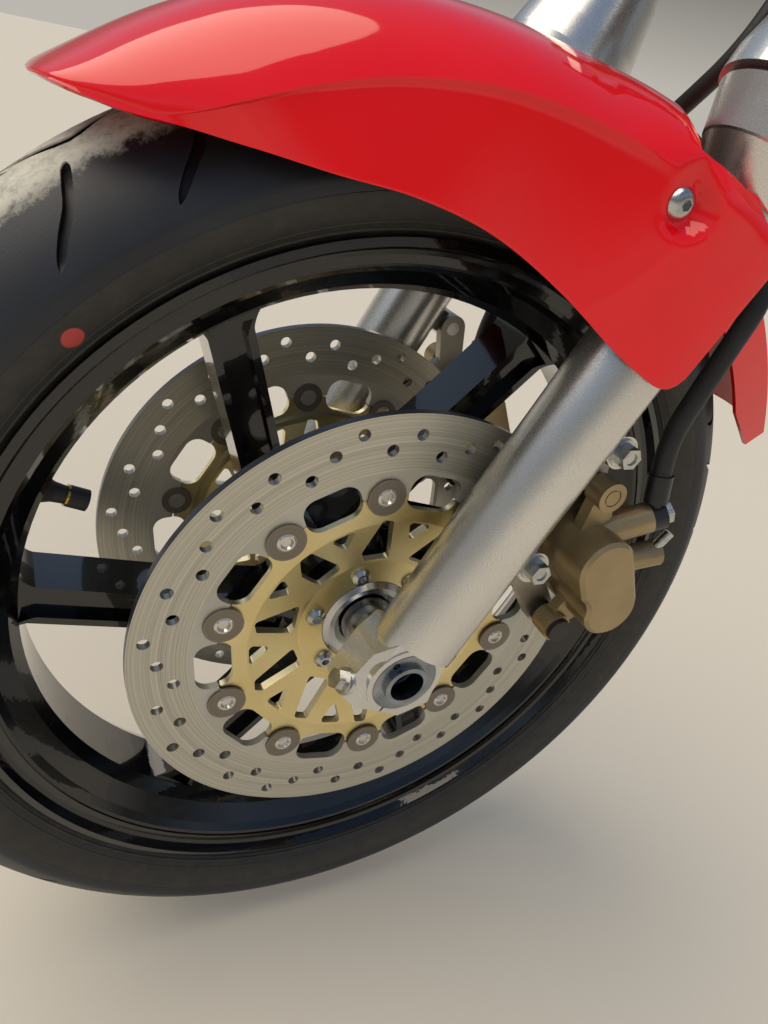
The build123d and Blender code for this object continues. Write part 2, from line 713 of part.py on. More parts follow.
def slider(axle_bore_r):
    """The left slider; the right one is its mirror, bored for the axle's plain end."""
    inner_face = LEG_Y - FOOT_HALF_WIDTH
    body = turned(
        [
            (0, 8),
            (SLIDER_R - 3, 8),
            (SLIDER_R, 17),
            (SLIDER_R, SLIDER_FLARE_S),
            (SLIDER_SHOULDER_R - 8, SLIDER_SHOULDER_S - 23),
            (SLIDER_SHOULDER_R - 7, SLIDER_SHOULDER_S - 22),
            (SLIDER_SHOULDER_R - 3, SLIDER_SHOULDER_S - 9),
            (SLIDER_SHOULDER_R, SLIDER_SHOULDER_S),
            (0, SLIDER_SHOULDER_S),
        ],
        Axis.Z,
    )
    body = Pos(0, LEG_Y, 0) * body
    blank_long, blank_deep = FOOT_BLANK
    body = body - Pos(0, FOOT_FACE_Y + blank_deep / 2, 0) * Box(blank_long, blank_deep, 2 * FOOT_TOP_S)
    body = body - Pos(0, inner_face - blank_deep / 2, 0) * Box(blank_long, blank_deep, 2 * FOOT_TOP_S)
    foot = make_face(Polyline(*FOOT_OUTLINE, close=True))
    block = slab(foot, inner_face, FOOT_FACE_Y)
    corner = make_face(Polyline(*FOOT_CHAMFER, close=True))
    block = block - Pos(0, 0, -2 * FOOT_TOP_S) * extrude(corner, 4 * FOOT_TOP_S)
    pinch_boss = Pos(0, LEG_Y, PINCH_S) * Rot(0, 90, 0) * extrude(Circle(PINCH_BOSS_R), FOOT_SEAT_AHEAD)
    body = body + block + pinch_boss + rod(FOOT_R, inner_face, FOOT_BOSS_Y)
    for lug_s in LUG_S:
        lug = rod(LUG_R, LEG_Y - LUG_HALF, LEG_Y + LUG_HALF, LUG_AHEAD, lug_s)
        arm = Pos(LUG_AHEAD / 2, LEG_Y, lug_s) * Box(-LUG_AHEAD, 2 * LUG_HALF, 1.6 * LUG_R)
        body = body + lug + arm
        body = body - rod(LUG_BOLT_R, LEG_Y - LUG_HALF - 1, LEG_Y + LUG_HALF + 1, LUG_AHEAD, lug_s)
    boss = rod(GUARD_BOSS_R, LEG_Y - 6, GUARD_BOSS_Y, GUARD_BOLT_AHEAD, GUARD_BOLT_S)
    boss = boss + Pos(GUARD_BOLT_AHEAD / 2, LEG_Y, GUARD_BOLT_S) * Box(GUARD_BOLT_AHEAD, 12, 14)
    body = body + boss - rod(GUARD_BOLT_R, LEG_Y - 2, GUARD_BOSS_Y + 1, GUARD_BOLT_AHEAD, GUARD_BOLT_S)
    body = body - post(TUBE_R + SLIDER_BORE_CLEAR, TUBE_FOOT_S, SLIDER_SHOULDER_S + 1, 0, LEG_Y)
    body = body - rod(axle_bore_r, inner_face - 1, FOOT_BOSS_Y + 1)
    body = body - rod(AXLE_COLLAR_R + 0.3, FOOT_BOSS_Y - AXLE_RECESS, FOOT_BOSS_Y + 1)
    body = body - clamp_slot() - pinch_bolt_solid()
    return body


def clamp_slot():
    """The saw cut that lets the foot close on the axle."""
    return Pos(2.5, LEG_Y, -24) * Rot(0, -5, 0) * Box(CLAMP_CUT, 60, 30)


def fork_tube():
    tube = post(TUBE_R, TUBE_FOOT_S, TUBE_TOP_S, 0, LEG_Y)
    groove = Circle(TUBE_R + 1) - Circle(TUBE_R - SEAT_GROOVE_DEPTH)
    tube = tube - Pos(0, LEG_Y, SEAT_GROOVE_S) * extrude(groove, SEAT_GROOVE)
    return tube - post(TUBE_BORE_R, TUBE_FOOT_S + 6, TUBE_TOP_S + 1, 0, LEG_Y)


def slider_cover():
    inner = TUBE_R + 0.6
    profile = [
        (inner, COVER_BASE_S),
        (COVER_R, COVER_BASE_S),
        (COVER_R, COVER_BASE_S + 12),
        (COVER_R - 3, COVER_BASE_S + 28),
        (COVER_TOP_R + 6, COVER_TOP_S - 30),
        (COVER_TOP_R, COVER_TOP_S),
        (inner, COVER_TOP_S),
    ]
    return Pos(0, LEG_Y, 0) * turned(profile, Axis.Z)


def dust_caps():
    ring = post(SLIDER_SHOULDER_R - 2, SLIDER_SHOULDER_S, COVER_BASE_S, 0, LEG_Y)
    ring = ring - post(TUBE_R + 0.1, SLIDER_SHOULDER_S - 1, COVER_BASE_S + 1, 0, LEG_Y)
    return both_sides(ring)


def fork_caps():
    cap = post(TUBE_R - 1, TUBE_TOP_S, TUBE_TOP_S + 3, 0, LEG_Y)
    cap = cap + post(TUBE_BORE_R - 0.1, TUBE_TOP_S - 12, TUBE_TOP_S, 0, LEG_Y)
    hexagon = extrude(RegularPolygon(13, 6), 7)
    cap = cap + Pos(0, LEG_Y, TUBE_TOP_S + 3) * hexagon
    return both_sides(cap)


def yoke(low, thick, boss_r, stem_r, waist):
    """A yoke drawn in the leg's frame: two leg clamps joined to the stem boss."""
    ring = Pos(0, LEG_Y) * Circle(YOKE_RING_R)
    boss = Pos(-YOKE_OFFSET, 0) * Circle(boss_r)
    arm = make_face(
        Polyline(
            (-YOKE_OFFSET + boss_r - 2, 0),
            (-YOKE_OFFSET + boss_r - 6, boss_r * 0.8),
            (YOKE_RING_R - 12, LEG_Y - 20),
            (-YOKE_RING_R + 4, LEG_Y - 12),
            (-YOKE_OFFSET - boss_r + waist, boss_r * 0.8),
            (-YOKE_OFFSET - boss_r + 2, 0),
            close=True,
        )
    )
    half = ring + arm
    plan = half + mirror(half, Plane.XZ) + boss
    body = Pos(0, 0, low) * extrude(plan, thick)
    body = body - post(stem_r, low - 1, low + thick + 1, -YOKE_OFFSET, 0)
    for side in (-1, 1):
        body = body - post(TUBE_R, low - 1, low + thick + 1, 0, side * LEG_Y)
        middle = Pos(0, side * (LEG_Y + 2), low + thick / 2)
        ear = Box(YOKE_EAR_DEPTH, YOKE_EAR_WIDTH, thick)
        body = body + middle * Pos(-YOKE_RING_R - YOKE_EAR_DEPTH / 2 + 2, 0, 0) * ear
        body = body - post(TUBE_R, low - 1, low + thick + 1, 0, side * LEG_Y)
        reach = YOKE_RING_R + YOKE_EAR_DEPTH - TUBE_R + 4
        body = body - middle * Pos(-TUBE_R + 2 - reach / 2, 0, 0) * Box(reach, YOKE_CUT, thick + 2)
    for height in yoke_bolt_heights():
        if low < height < low + thick:
            body = body - both_sides(yoke_bolt(height))
    return body


def yoke_bolt_heights():
    lower = LOWER_YOKE_S + LOWER_YOKE_THICK / 2
    return [lower - YOKE_BOLT_APART / 2, lower + YOKE_BOLT_APART / 2, TOP_YOKE_S + TOP_YOKE_THICK / 2]


def yoke_bolt(height):
    """The left leg's clamp bolt at a height up the leg, its head outboard."""
    inner, outer = LEG_Y + 2 - YOKE_EAR_WIDTH / 2, LEG_Y + 2 + YOKE_EAR_WIDTH / 2
    return rod(YOKE_BOLT_R, inner, outer, YOKE_BOLT_AHEAD, height)


def yoke_bolts():
    outer = LEG_Y + 2 + YOKE_EAR_WIDTH / 2
    solids = []
    for height in yoke_bolt_heights():
        head = rod(YOKE_BOLT_HEAD_R, outer, outer + YOKE_BOLT_HEAD, YOKE_BOLT_AHEAD, height)
        socket = Pos(YOKE_BOLT_AHEAD, height) * RegularPolygon(YOKE_BOLT_HEAD_R / 2, 6)
        head = head - slab(socket, outer + YOKE_BOLT_HEAD / 2, outer + YOKE_BOLT_HEAD + 1)
        solids = solids + (yoke_bolt(height) + head).solids()
    return solids


def lower_yoke():
    return yoke(LOWER_YOKE_S, LOWER_YOKE_THICK, LOWER_YOKE_BOSS_R, STEM_R, 12)


def top_yoke():
    return yoke(TOP_YOKE_S, TOP_YOKE_THICK, TOP_YOKE_BOSS_R, STEM_R, 10)


def steering_stem():
    top = TOP_YOKE_S + TOP_YOKE_THICK + STEM_NUT_THICK
    stem = post(STEM_R, LOWER_YOKE_S, top, -YOKE_OFFSET, 0)
    return stem - post(STEM_BORE_R, LOWER_YOKE_S - 1, top + 1, -YOKE_OFFSET, 0)


def stem_nuts():
    top = TOP_YOKE_S + TOP_YOKE_THICK
    nut = Pos(-YOKE_OFFSET, 0, top) * extrude(RegularPolygon(STEM_NUT_R + 4, 6), STEM_NUT_THICK - 2)
    nut = nut - post(STEM_R, top - 1, top + STEM_NUT_THICK + 1, -YOKE_OFFSET, 0)
    adjuster = post(STEM_NUT_R + 6, TOP_YOKE_S - 11, TOP_YOKE_S - 1, -YOKE_OFFSET, 0)
    adjuster = adjuster - post(STEM_R, TOP_YOKE_S - 12, TOP_YOKE_S + 1, -YOKE_OFFSET, 0)
    for index in range(4):
        notch = Rot(0, 0, 45 + 90 * index) * Pos(STEM_NUT_R + 6, 0, 0) * Box(7, 6, 30)
        adjuster = adjuster - Pos(-YOKE_OFFSET, 0, TOP_YOKE_S - 6) * notch
    return Compound([*nut.solids(), *adjuster.solids()])


def head_bearing(middle):
    """A bearing drawn on the steering axis, its height measured from the lower one's centre."""
    low = middle - HEAD_BEARING_THICK / 2
    ring = post(BEARING_OD_R, low, low + HEAD_BEARING_THICK)
    return STEM.location * (ring - post(STEM_R + RUNNING, low - 1, low + HEAD_BEARING_THICK + 1))


def in_caliper(sketch):
    """Place a sketch drawn with X along the pistons and Y away from the axle."""
    x, z = polar(CALIPER_R, CALIPER_ANGLE)
    return Pos(x, z) * Rot(0, 0, CALIPER_ANGLE - 90) * sketch


def bar(start, end, start_r, end_r):
    """A flat bar whose ends are round."""
    ends = (Pos(*start) * Circle(start_r)).edges() + (Pos(*end) * Circle(end_r)).edges()
    return make_hull(ends)


def stub(ends, radius):
    """A round bar between two points."""
    base, tip = Vector(*ends[0]), Vector(*ends[1])
    return Plane(origin=base, z_dir=tip - base).location * extrude(Circle(radius), (tip - base).length)


def kidney():
    """The outline of both piston housings, waisted towards the axle."""
    pot = SlotCenterToCenter(PISTON_SPACING, 2 * PISTON_BOSS_R)
    waist = Pos(WAIST_ALONG, -PISTON_BOSS_R - WAIST_R + WAIST_DEPTH) * Circle(WAIST_R)
    outline = pot - waist
    corners = [v for v in outline.vertices() if v.Y < 1 - PISTON_BOSS_R and abs(v.X - WAIST_ALONG) < WAIST_R]
    near = [v for v in corners if abs(abs(v.X) - PISTON_SPACING / 2) > 1]
    return fillet(near, WAIST_CORNER)


def caliper_body():
    half = PISTON_SPACING / 2
    body = slab(in_caliper(kidney()), CALIPER_BACK_Y, CALIPER_FACE_Y)
    body = chamfer(body.faces().sort_by(Axis.Y)[-1].edges(), CAP_CHAMFER)
    across = (BRIDGE_IN + BRIDGE_OUT) / 2
    bridge = Pos(0, across) * RectangleRounded(2 * BRIDGE_HALF_LENGTH, BRIDGE_OUT - BRIDGE_IN, 8)
    body = body + slab(in_caliper(bridge), FINGER_Y, CALIPER_BACK_Y + 18)
    finger = Pos(0, 10) * RectangleRounded(2 * half + 26, 50, 10)
    body = body + slab(in_caliper(finger), FINGER_Y, FINGER_Y + FINGER_THICK)
    link = Pos(0, 18) * RectangleRounded(2 * half + 26, 36, 8)
    body = body + slab(in_caliper(link), CALIPER_BACK_Y, CALIPER_BACK_Y + 18)
    gap = Pos(0, 0) * RectangleRounded(2 * half + 40, 2 * BRIDGE_IN - 0.5, 2)
    low = FINGER_Y + FINGER_THICK
    body = body - slab(in_caliper(gap), low, CALIPER_BACK_Y)
    view = Pos(0, across) * RectangleRounded(24, 30, 4)
    body = body - slab(in_caliper(view), low + 1, CALIPER_BACK_Y - 1)
    body = body + stub(INLET_BOSS, INLET_BOSS_R) + stub(BLEED_BOSS, BLEED_BOSS_R)
    ear_low = BRACKET_Y + BRACKET_THICK + BOOT_LENGTH
    ear_top = ear_low + EAR_THICK
    for pin in (UPPER_PIN, LOWER_PIN):
        root = (half if pin[0] > 0 else -half, 0)
        body = body + slab(in_caliper(Pos(*pin) * Circle(EAR_R)), ear_low, ear_top)
        body = body + slab(in_caliper(bar(pin, root, *EAR_WEB_R)), ear_low + 1, ear_low + 1 + EAR_WEB)
        body = body - slab(in_caliper(Pos(*pin) * Circle(PIN_R + 0.1)), ear_low - 1, ear_top - EAR_END_WALL)
    plug = Pos(*UPPER_PIN) * (Circle(PLUG_R) - Circle(PLUG_R - 0.9))
    return body - slab(in_caliper(plug), ear_top - 0.8, ear_top + 1)


def brake_pads():
    half = PISTON_SPACING / 2
    pad = RectangleRounded(2 * half + 30, 31, 4)
    outer = slab(in_caliper(pad), DISC_FACE_Y + PAD_GAP, CALIPER_BACK_Y)
    inner = slab(in_caliper(pad), FINGER_Y + FINGER_THICK, DISC_FACE_Y - DISC_THICK - PAD_GAP)
    return both_sides(Compound([*outer.solids(), *inner.solids()]))


def lug_in_caliper(index):
    """A caliper lug's centre in the caliper's own plane."""
    x, z = lug_point(index)
    centre_x, centre_z = polar(CALIPER_R, CALIPER_ANGLE)
    turn = radians(CALIPER_ANGLE - 90)
    run_x, run_z = x - centre_x, z - centre_z
    return (run_x * cos(turn) + run_z * sin(turn), run_z * cos(turn) - run_x * sin(turn))


def lug_point(index):
    """A caliper lug's centre in the wheel's plane."""
    place = AHEAD * LUG_AHEAD + UP * LUG_S[index]
    return (place.X, place.Z)


def caliper_bracket():
    lower_lug, upper_lug = lug_in_caliper(0), lug_in_caliper(1)
    plate = bar(lower_lug, LOWER_PIN, LUG_R, EAR_R) + bar(lower_lug, BRACKET_ELBOW, LUG_R, EAR_R)
    plate = plate + bar(BRACKET_ELBOW, UPPER_PIN, EAR_R, EAR_R) + bar(UPPER_PIN, upper_lug, EAR_R, LUG_R)
    body = slab(in_caliper(plate), BRACKET_Y, BRACKET_Y + BRACKET_THICK)
    for index in (0, 1):
        x, z = lug_point(index)
        body = body - rod(LUG_BOLT_R, BRACKET_Y - 1, BRACKET_Y + BRACKET_THICK + 1, x, z)
    return body


def slide_pins():
    """Two pins a side, each with its rubber boot's core, from the bracket into the caliper's ears."""
    top = BRACKET_Y + BRACKET_THICK
    solids = []
    reach = BOOT_LENGTH + EAR_THICK - EAR_END_WALL - PIN_END_GAP
    for pin in (UPPER_PIN, LOWER_PIN):
        solids = solids + slab(in_caliper(Pos(*pin) * Circle(PIN_R)), top, top + reach).solids()
    return both_sides(Compound(solids))


def pin_boots():
    top = BRACKET_Y + BRACKET_THICK
    solids = []
    for pin in (UPPER_PIN, LOWER_PIN):
        x_z = Pos(*pin) * (Circle(BOOT_R) - Circle(PIN_R + 0.1))
        solids = solids + slab(in_caliper(x_z), top, top + BOOT_LENGTH).solids()
    end = top + BOOT_LENGTH + EAR_THICK
    cap = slab(in_caliper(Pos(*LOWER_PIN) * Circle(PIN_CAP_R)), end, end + PIN_CAP_THICK)
    return both_sides(Compound(solids + cap.solids()))


def caliper_bolts():
    low = BRACKET_Y
    top = LEG_Y + LUG_HALF
    solids = []
    for index in (0, 1):
        x, z = lug_point(index)
        bolt = rod(LUG_BOLT_R, low, top, x, z) + rod(LUG_WASHER_R, top, top + LUG_WASHER, x, z)
        head = Pos(x, z) * RegularPolygon(LUG_BOLT_HEAD_R, 6)
        end = top + LUG_WASHER + LUG_BOLT_HEAD
        bolt = bolt + slab(head, top + LUG_WASHER, end) - rod(3.6, end - 1, end + 1, x, z)
        solids = solids + bolt.solids()
    return both_sides(Compound([*solids, *bright_fittings()]))


def guard_section(row, inset):
    """The mudguard's section in the half plane at one angle, closed straight across below.

    The inside is drawn from the same row, set in by the wall and left open below.
    """
    angle, crown_h, shoulder_y, shoulder_h, wide_y, wide_h, edge_y, edge_h = row
    crown_r, shoulder_r, wide_r, edge_r = [TYRE_R + h for h in (crown_h, shoulder_h, wide_h, edge_h)]
    crown = (0, crown_r - inset)
    shoulder = (shoulder_y - 0.5 * inset, shoulder_r - 0.9 * inset)
    wide = (wide_y - inset, wide_r - 0.3 * inset)
    edge = (edge_y - inset, edge_r - 3 * inset)

    def flip(points):
        return [(-y, r) for y, r in points]

    def bow(start, end, share):
        """A point that stands off the middle of a line, outwards."""
        run_y, run_r = end[0] - start[0], end[1] - start[1]
        return ((start[0] + end[0]) / 2 - run_r * share, (start[1] + end[1]) / 2 + run_y * share)

    upper = (shoulder, bow(shoulder, wide, 0.10), wide)
    lower = (wide, bow(wide, edge, 0.03), edge)
    edges = [
        ThreePointArc(flip([shoulder])[0], crown, shoulder),
        ThreePointArc(*upper),
        ThreePointArc(*lower),
        Line(edge, flip([edge])[0]),
        ThreePointArc(*reversed(flip(lower))),
        ThreePointArc(*reversed(flip(upper))),
    ]
    x, z = polar(1, angle)
    plane = Plane(origin=(0, 0, 0), x_dir=(0, 1, 0), z_dir=Vector(0, 1, 0).cross(Vector(x, 0, z)))
    return plane.location * make_face(edges)


def mudguard():
    outside = loft([guard_section(row, 0) for row in GUARD_SECTIONS])
    rows = [list(row) for row in GUARD_SECTIONS]
    rows[0][0] = rows[0][0] - 1
    rows[-1][0] = rows[-1][0] + 1
    inside = loft([guard_section(row, GUARD_WALL) for row in rows])
    shell = on_wheel(outside - inside)
    cup = guard_dish(GUARD_BOSS_Y, 1, GUARD_WALL)
    well = guard_dish(GUARD_BOSS_Y + GUARD_WALL, 0, 0)
    hole = rod(GUARD_BOLT_R + 0.2, GUARD_BOSS_Y - 1, GUARD_FAR_Y, GUARD_BOLT_AHEAD, GUARD_BOLT_S)
    notch = post(LEG_NOTCH_R, LEG_NOTCH_S, LEG_NOTCH_TOP_S, 0, LEG_Y)
    notch = notch + post(SLIDER_R + LEG_CLEAR, LEG_NOTCH_S - LEG_HOLE_DEPTH, LEG_NOTCH_S + 1, 0, LEG_Y)
    for side in (lambda shape: shape, other_side):
        shell = shell + (on_leg(side(cup)) & on_wheel(outside))
        shell = shell - on_leg(side(well)) - on_leg(side(hole)) - on_leg(side(notch))
    return shell


def guard_dish(floor_y, floor_more, rim_more):
    """The dish round a mudguard bolt, as a cone that opens outwards from its floor."""
    floor_r, rim_r, depth = GUARD_DISH
    profile = [
        (0, floor_y),
        (floor_r + floor_more, floor_y),
        (rim_r + rim_more, floor_y + depth),
        (rim_r + rim_more, GUARD_FAR_Y),
        (0, GUARD_FAR_Y),
    ]
    return Pos(GUARD_BOLT_AHEAD, 0, GUARD_BOLT_S) * turned(profile)


def mudguard_rear():
    crown = TYRE_R + REAR_GUARD_HEIGHT
    shoulder = (TYRE_R + REAR_GUARD_SHOULDER, REAR_GUARD_HALF - REAR_GUARD_LEAN)
    edge = (TYRE_R + REAR_GUARD_EDGE, REAR_GUARD_HALF)
    wall = GUARD_WALL

    def flip(point):
        return (point[0], -point[1])

    inner_shoulder = (shoulder[0] - wall, shoulder[1] - wall)
    inner_edge = (edge[0], edge[1] - wall)
    edges = [
        Line(edge, shoulder),
        ThreePointArc(shoulder, (crown, 0), flip(shoulder)),
        Line(flip(shoulder), flip(edge)),
        Line(flip(edge), flip(inner_edge)),
        Line(flip(inner_edge), flip(inner_shoulder)),
        ThreePointArc(flip(inner_shoulder), (crown - wall, 0), inner_shoulder),
        Line(inner_shoulder, inner_edge),
        Line(inner_edge, edge),
    ]
    shell = revolve(make_face(edges), Axis.Y, REAR_GUARD_TO - REAR_GUARD_FROM)
    shell = Rot(0, -REAR_GUARD_TO, 0) * shell
    corner = make_face(Polyline(*[polar(TYRE_R + h, angle) for h, angle in REAR_GUARD_CUT], close=True))
    return shell - slab(corner, -REAR_GUARD_HALF - 1, REAR_GUARD_HALF + 1)


def mudguard_bolts():
    seat = GUARD_BOSS_Y + GUARD_WALL
    profile = [
        (0, LEG_Y),
        (GUARD_BOLT_R, LEG_Y),
        (GUARD_BOLT_R, seat),
        (8.5, seat),
        (8.5, seat + 1.2),
        (6.5, seat + 2),
        (4.5, seat + 5),
        (0, seat + 5.6),
    ]
    return both_sides(Pos(GUARD_BOLT_AHEAD, 0, GUARD_BOLT_S) * turned(profile))


def pinch_bolt_solid():
    """The left pinch bolt, drawn along the ahead direction with its head in front."""
    seat = FOOT_SEAT_AHEAD
    face = seat + PINCH_WASHER
    bolt = Pos(seat - PINCH_REACH, LEG_Y, PINCH_S) * Rot(0, 90, 0) * extrude(Circle(PINCH_BOLT_R), PINCH_REACH)
    washer = Pos(seat, LEG_Y, PINCH_S) * Rot(0, 90, 0) * extrude(Circle(PINCH_WASHER_R), PINCH_WASHER)
    head = Pos(face, LEG_Y, PINCH_S) * Rot(0, 90, 0) * extrude(RegularPolygon(PINCH_HEAD_R, 6), PINCH_HEAD)
    return bolt + washer + head


def pinch_bolts():
    """The bolts that close the feet on the axle and the yokes on the tubes."""
    return both_sides(Compound([*pinch_bolt_solid().solids(), *yoke_bolts()]))


def hose():
    """The left hose's points, with its end in the splitter under the lower yoke."""
    end_x, end_y, end_s = HOSE_ROUTE[-1]
    return HOSE_ROUTE + [(end_x, end_y, SPLITTER_S - SPLITTER_SIZE[2] / 2)]


def leg_to_wheel(point):
    """A point given as (ahead, across, up the leg) in the wheel's own axes."""
    place = AHEAD * point[0] + UP * point[2]
    return (place.X, point[1], place.Z)


def bright_fittings():
    """The left banjo's bolt head and the bleed nipple."""
    end = Vector(*INLET_BOSS[1])
    run = (end - Vector(*INLET_BOSS[0])).normalized()
    flat = end + run * BANJO_THICK
    bolt = Plane(origin=flat, z_dir=run).location * extrude(RegularPolygon(BANJO_BOLT_R, 6), BANJO_BOLT_HEAD)
    nipple = stub(BLEED_NIPPLE, BLEED_NIPPLE_R) - caliper_body()
    return [*bolt.solids(), *nipple.solids()]


def brake_fittings():
    """Each hose's banjo and ferrule on the caliper."""
    end = Vector(*INLET_BOSS[1])
    run = (end - Vector(*INLET_BOSS[0])).normalized()
    banjo = stub((end, end + run * BANJO_THICK), BANJO_R)
    start, following = [Vector(*leg_to_wheel(point)) for point in HOSE_ROUTE[:2]]
    along = (following - start).normalized()
    neck = stub((end + run * (BANJO_THICK / 2), start), FERRULE_NECK_R)
    ferrule = stub((start - along * 2, start + along * FERRULE_LENGTH), FERRULE_R)
    bore = stub((start, start + along * (FERRULE_LENGTH + 1)), HOSE_R)
    line = banjo + neck + (ferrule - bore)
    line = line - bore - caliper_body()
    for bright in bright_fittings():
        line = line - bright
    return both_sides(Compound(line.solids()))


def hose_tube(route, radius):
    points = [Vector(*point) for point in route]
    radii = []
    for before, at, after in zip(points, points[1:], points[2:]):
        turn = radians((at - before).get_angle(after - at))
        shorter = min((at - before).length, (after - at).length)
        radii.append(0.45 * shorter / (sin(turn / 2) / cos(turn / 2)))
    path = FilletPolyline(*points, radius=radii)
    start = Plane(origin=points[0], z_dir=points[1] - points[0])
    tube = sweep(start * Circle(radius), path=path)
    length = path.length
    print("hose length", round(length, 1), "radii", [round(r) for r in radii])
    print("volume share", round(tube.volume / (3.14159265 * radius**2 * length), 4))
    return tube


def hose_splitter():
    block = Pos(SPLITTER_AHEAD, 0, SPLITTER_S) * Box(*SPLITTER_SIZE)
    top = SPLITTER_S + SPLITTER_SIZE[2] / 2
    block = block + post(7, top, LOWER_YOKE_S, SPLITTER_AHEAD, 0)
    back = SPLITTER_AHEAD - SPLITTER_SIZE[0] / 2
    inlet = Pos(back, 0, SPLITTER_S) * Rot(0, 90, 0) * extrude(Circle(INLET_R), INLET_DEPTH)
    return block - inlet


WHEEL_NODES = {
    "tyre": tyre,
    "wheel_casting": wheel_casting,
    "valve_stem": valve_stem,
    "wheel_bearings": wheel_bearings,
    "dust_seals": dust_seals,
    "hub_collars": hub_collars,
    "disc_bolts": disc_bolts,
    "axle": axle,
    "axle_spacers": axle_spacers,
    "brake_pads": brake_pads,
    "slide_pins": slide_pins,
    "pin_boots": pin_boots,
    "caliper_bolts": caliper_bolts,
    "brake_fittings": brake_fittings,
    "mudguard_rear": mudguard_rear,
}
PAIRED_WHEEL_NODES = {
    "disc_ring": disc_ring,
    "disc_carrier": disc_carrier,
    "disc_bobbins": disc_bobbins,
    "caliper_body": caliper_body,
    "caliper_bracket": caliper_bracket,
}
LEG_NODES = {
    "dust_caps": dust_caps,
    "fork_caps": fork_caps,
    "lower_yoke": lower_yoke,
    "top_yoke": top_yoke,
    "steering_stem": steering_stem,
    "stem_nuts": stem_nuts,
    "mudguard_bolts": mudguard_bolts,
    "pinch_bolts": pinch_bolts,
    "hose_splitter": hose_splitter,
}
PAIRED_LEG_NODES = {
    "fork_tube": fork_tube,
    "slider_cover": slider_cover,
}

for name, make in WHEEL_NODES.items():
    save(on_wheel(make()), name)
for name, make in PAIRED_WHEEL_NODES.items():
    left = make()
    save(on_wheel(left), f"left_{name}")
    save(on_wheel(other_side(left)), f"right_{name}")
for name, make in LEG_NODES.items():
    save(on_leg(make()), name)
for name, make in PAIRED_LEG_NODES.items():
    left = make()
    save(on_leg(left), f"left_{name}")
    save(on_leg(other_side(left)), f"right_{name}")
save(on_leg(slider(AXLE_END_R)), "left_fork_slider")
save(on_leg(other_side(slider(AXLE_R + 0.02))), "right_fork_slider")
save(mudguard(), "mudguard")
left_hose = hose_tube(hose(), HOSE_R)
save(on_leg(left_hose), "left_brake_hose")
save(on_leg(other_side(left_hose)), "right_brake_hose")
save(head_bearing(0), "lower_head_bearing")
save(head_bearing(HEAD_TUBE_LENGTH - HEAD_BEARING_THICK), "upper_head_bearing")
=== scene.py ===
# %% [markdown]
# A motorcycle's front end, dressed for a studio picture.
#
# The solid parts come in as a fixed frame: wheel, discs, fork, yokes, calipers and mudguards. This
# lesson gives each of them the surface that its maker gave it, and models what a solid is too plain
# for: the tyre's grooves, the front mudguard's pressed sheet, its bolts, and a brass ring on the valve.

# %% Load the frame
import json
import math

import bmesh
import bpy
from mathutils import Matrix, Vector


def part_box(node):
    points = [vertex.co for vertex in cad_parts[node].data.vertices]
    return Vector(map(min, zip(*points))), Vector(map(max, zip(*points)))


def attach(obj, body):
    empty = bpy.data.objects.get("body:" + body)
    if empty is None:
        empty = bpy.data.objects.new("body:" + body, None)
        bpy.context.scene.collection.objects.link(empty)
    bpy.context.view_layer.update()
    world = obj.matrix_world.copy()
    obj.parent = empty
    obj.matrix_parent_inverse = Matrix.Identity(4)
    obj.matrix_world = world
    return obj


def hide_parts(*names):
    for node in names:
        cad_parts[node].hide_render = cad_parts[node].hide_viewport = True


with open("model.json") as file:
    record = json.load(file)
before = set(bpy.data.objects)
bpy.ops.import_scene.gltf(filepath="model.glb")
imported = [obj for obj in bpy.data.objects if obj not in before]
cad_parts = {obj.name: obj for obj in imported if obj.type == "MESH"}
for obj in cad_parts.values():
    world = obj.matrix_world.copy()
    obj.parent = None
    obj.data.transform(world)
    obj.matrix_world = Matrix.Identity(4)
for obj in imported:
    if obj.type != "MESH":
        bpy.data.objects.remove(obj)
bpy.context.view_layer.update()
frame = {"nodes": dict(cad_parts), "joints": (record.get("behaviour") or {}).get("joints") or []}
MM = 0.001

# %% [markdown]
# Two lines rule everything here: the axle, round which the wheel turns, and the steering axis, along
# which the fork's legs run. Both come from the frame's joints, so nothing has to be fitted.

# %% Axle and steering axis
joints = {joint["name"]: joint for joint in frame["joints"]}
AXLE = Vector(joints["wheel_spin"]["pos_m"])
UP = Vector(joints["steering"]["axis"]).normalized()
LEFT = Vector((0, 1, 0))
AHEAD = LEFT.cross(UP)
RAKE = math.atan2(-UP.x, UP.z)
FLOOR_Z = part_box("tyre")[0].z


def on_wheel(radius, angle, across=0.0):
    """A point from millimetres and degrees round the axle, with its distance to the left."""
    turn = math.radians(angle)
    return AXLE + Vector((radius * math.cos(turn), across, radius * math.sin(turn))) * MM


def on_leg(ahead, across, up):
    """A point from millimetres ahead of the axle, to the left, and up the fork leg."""
    return AXLE + (AHEAD * ahead + LEFT * across + UP * up) * MM


print("axle", tuple(round(part, 4) for part in AXLE), "floor", round(FLOOR_Z, 4))
print("rake", round(math.degrees(RAKE), 2), "degrees")

# %% [markdown]
# The photographer crouched ahead of the wheel on the bike's left, held a phone upright and tipped it a
# little. A phone's main camera sees about as wide as a 27 mm lens on a 36 mm frame.

# %% Camera
LENS = 26.76
FRAME_WIDTH = 36.0
CAMERA_PLACE = Vector((0.44724, 0.39245, -0.15985))
HEADING = 150.106
BELOW_HORIZON = 29.383
TIP = 12.311

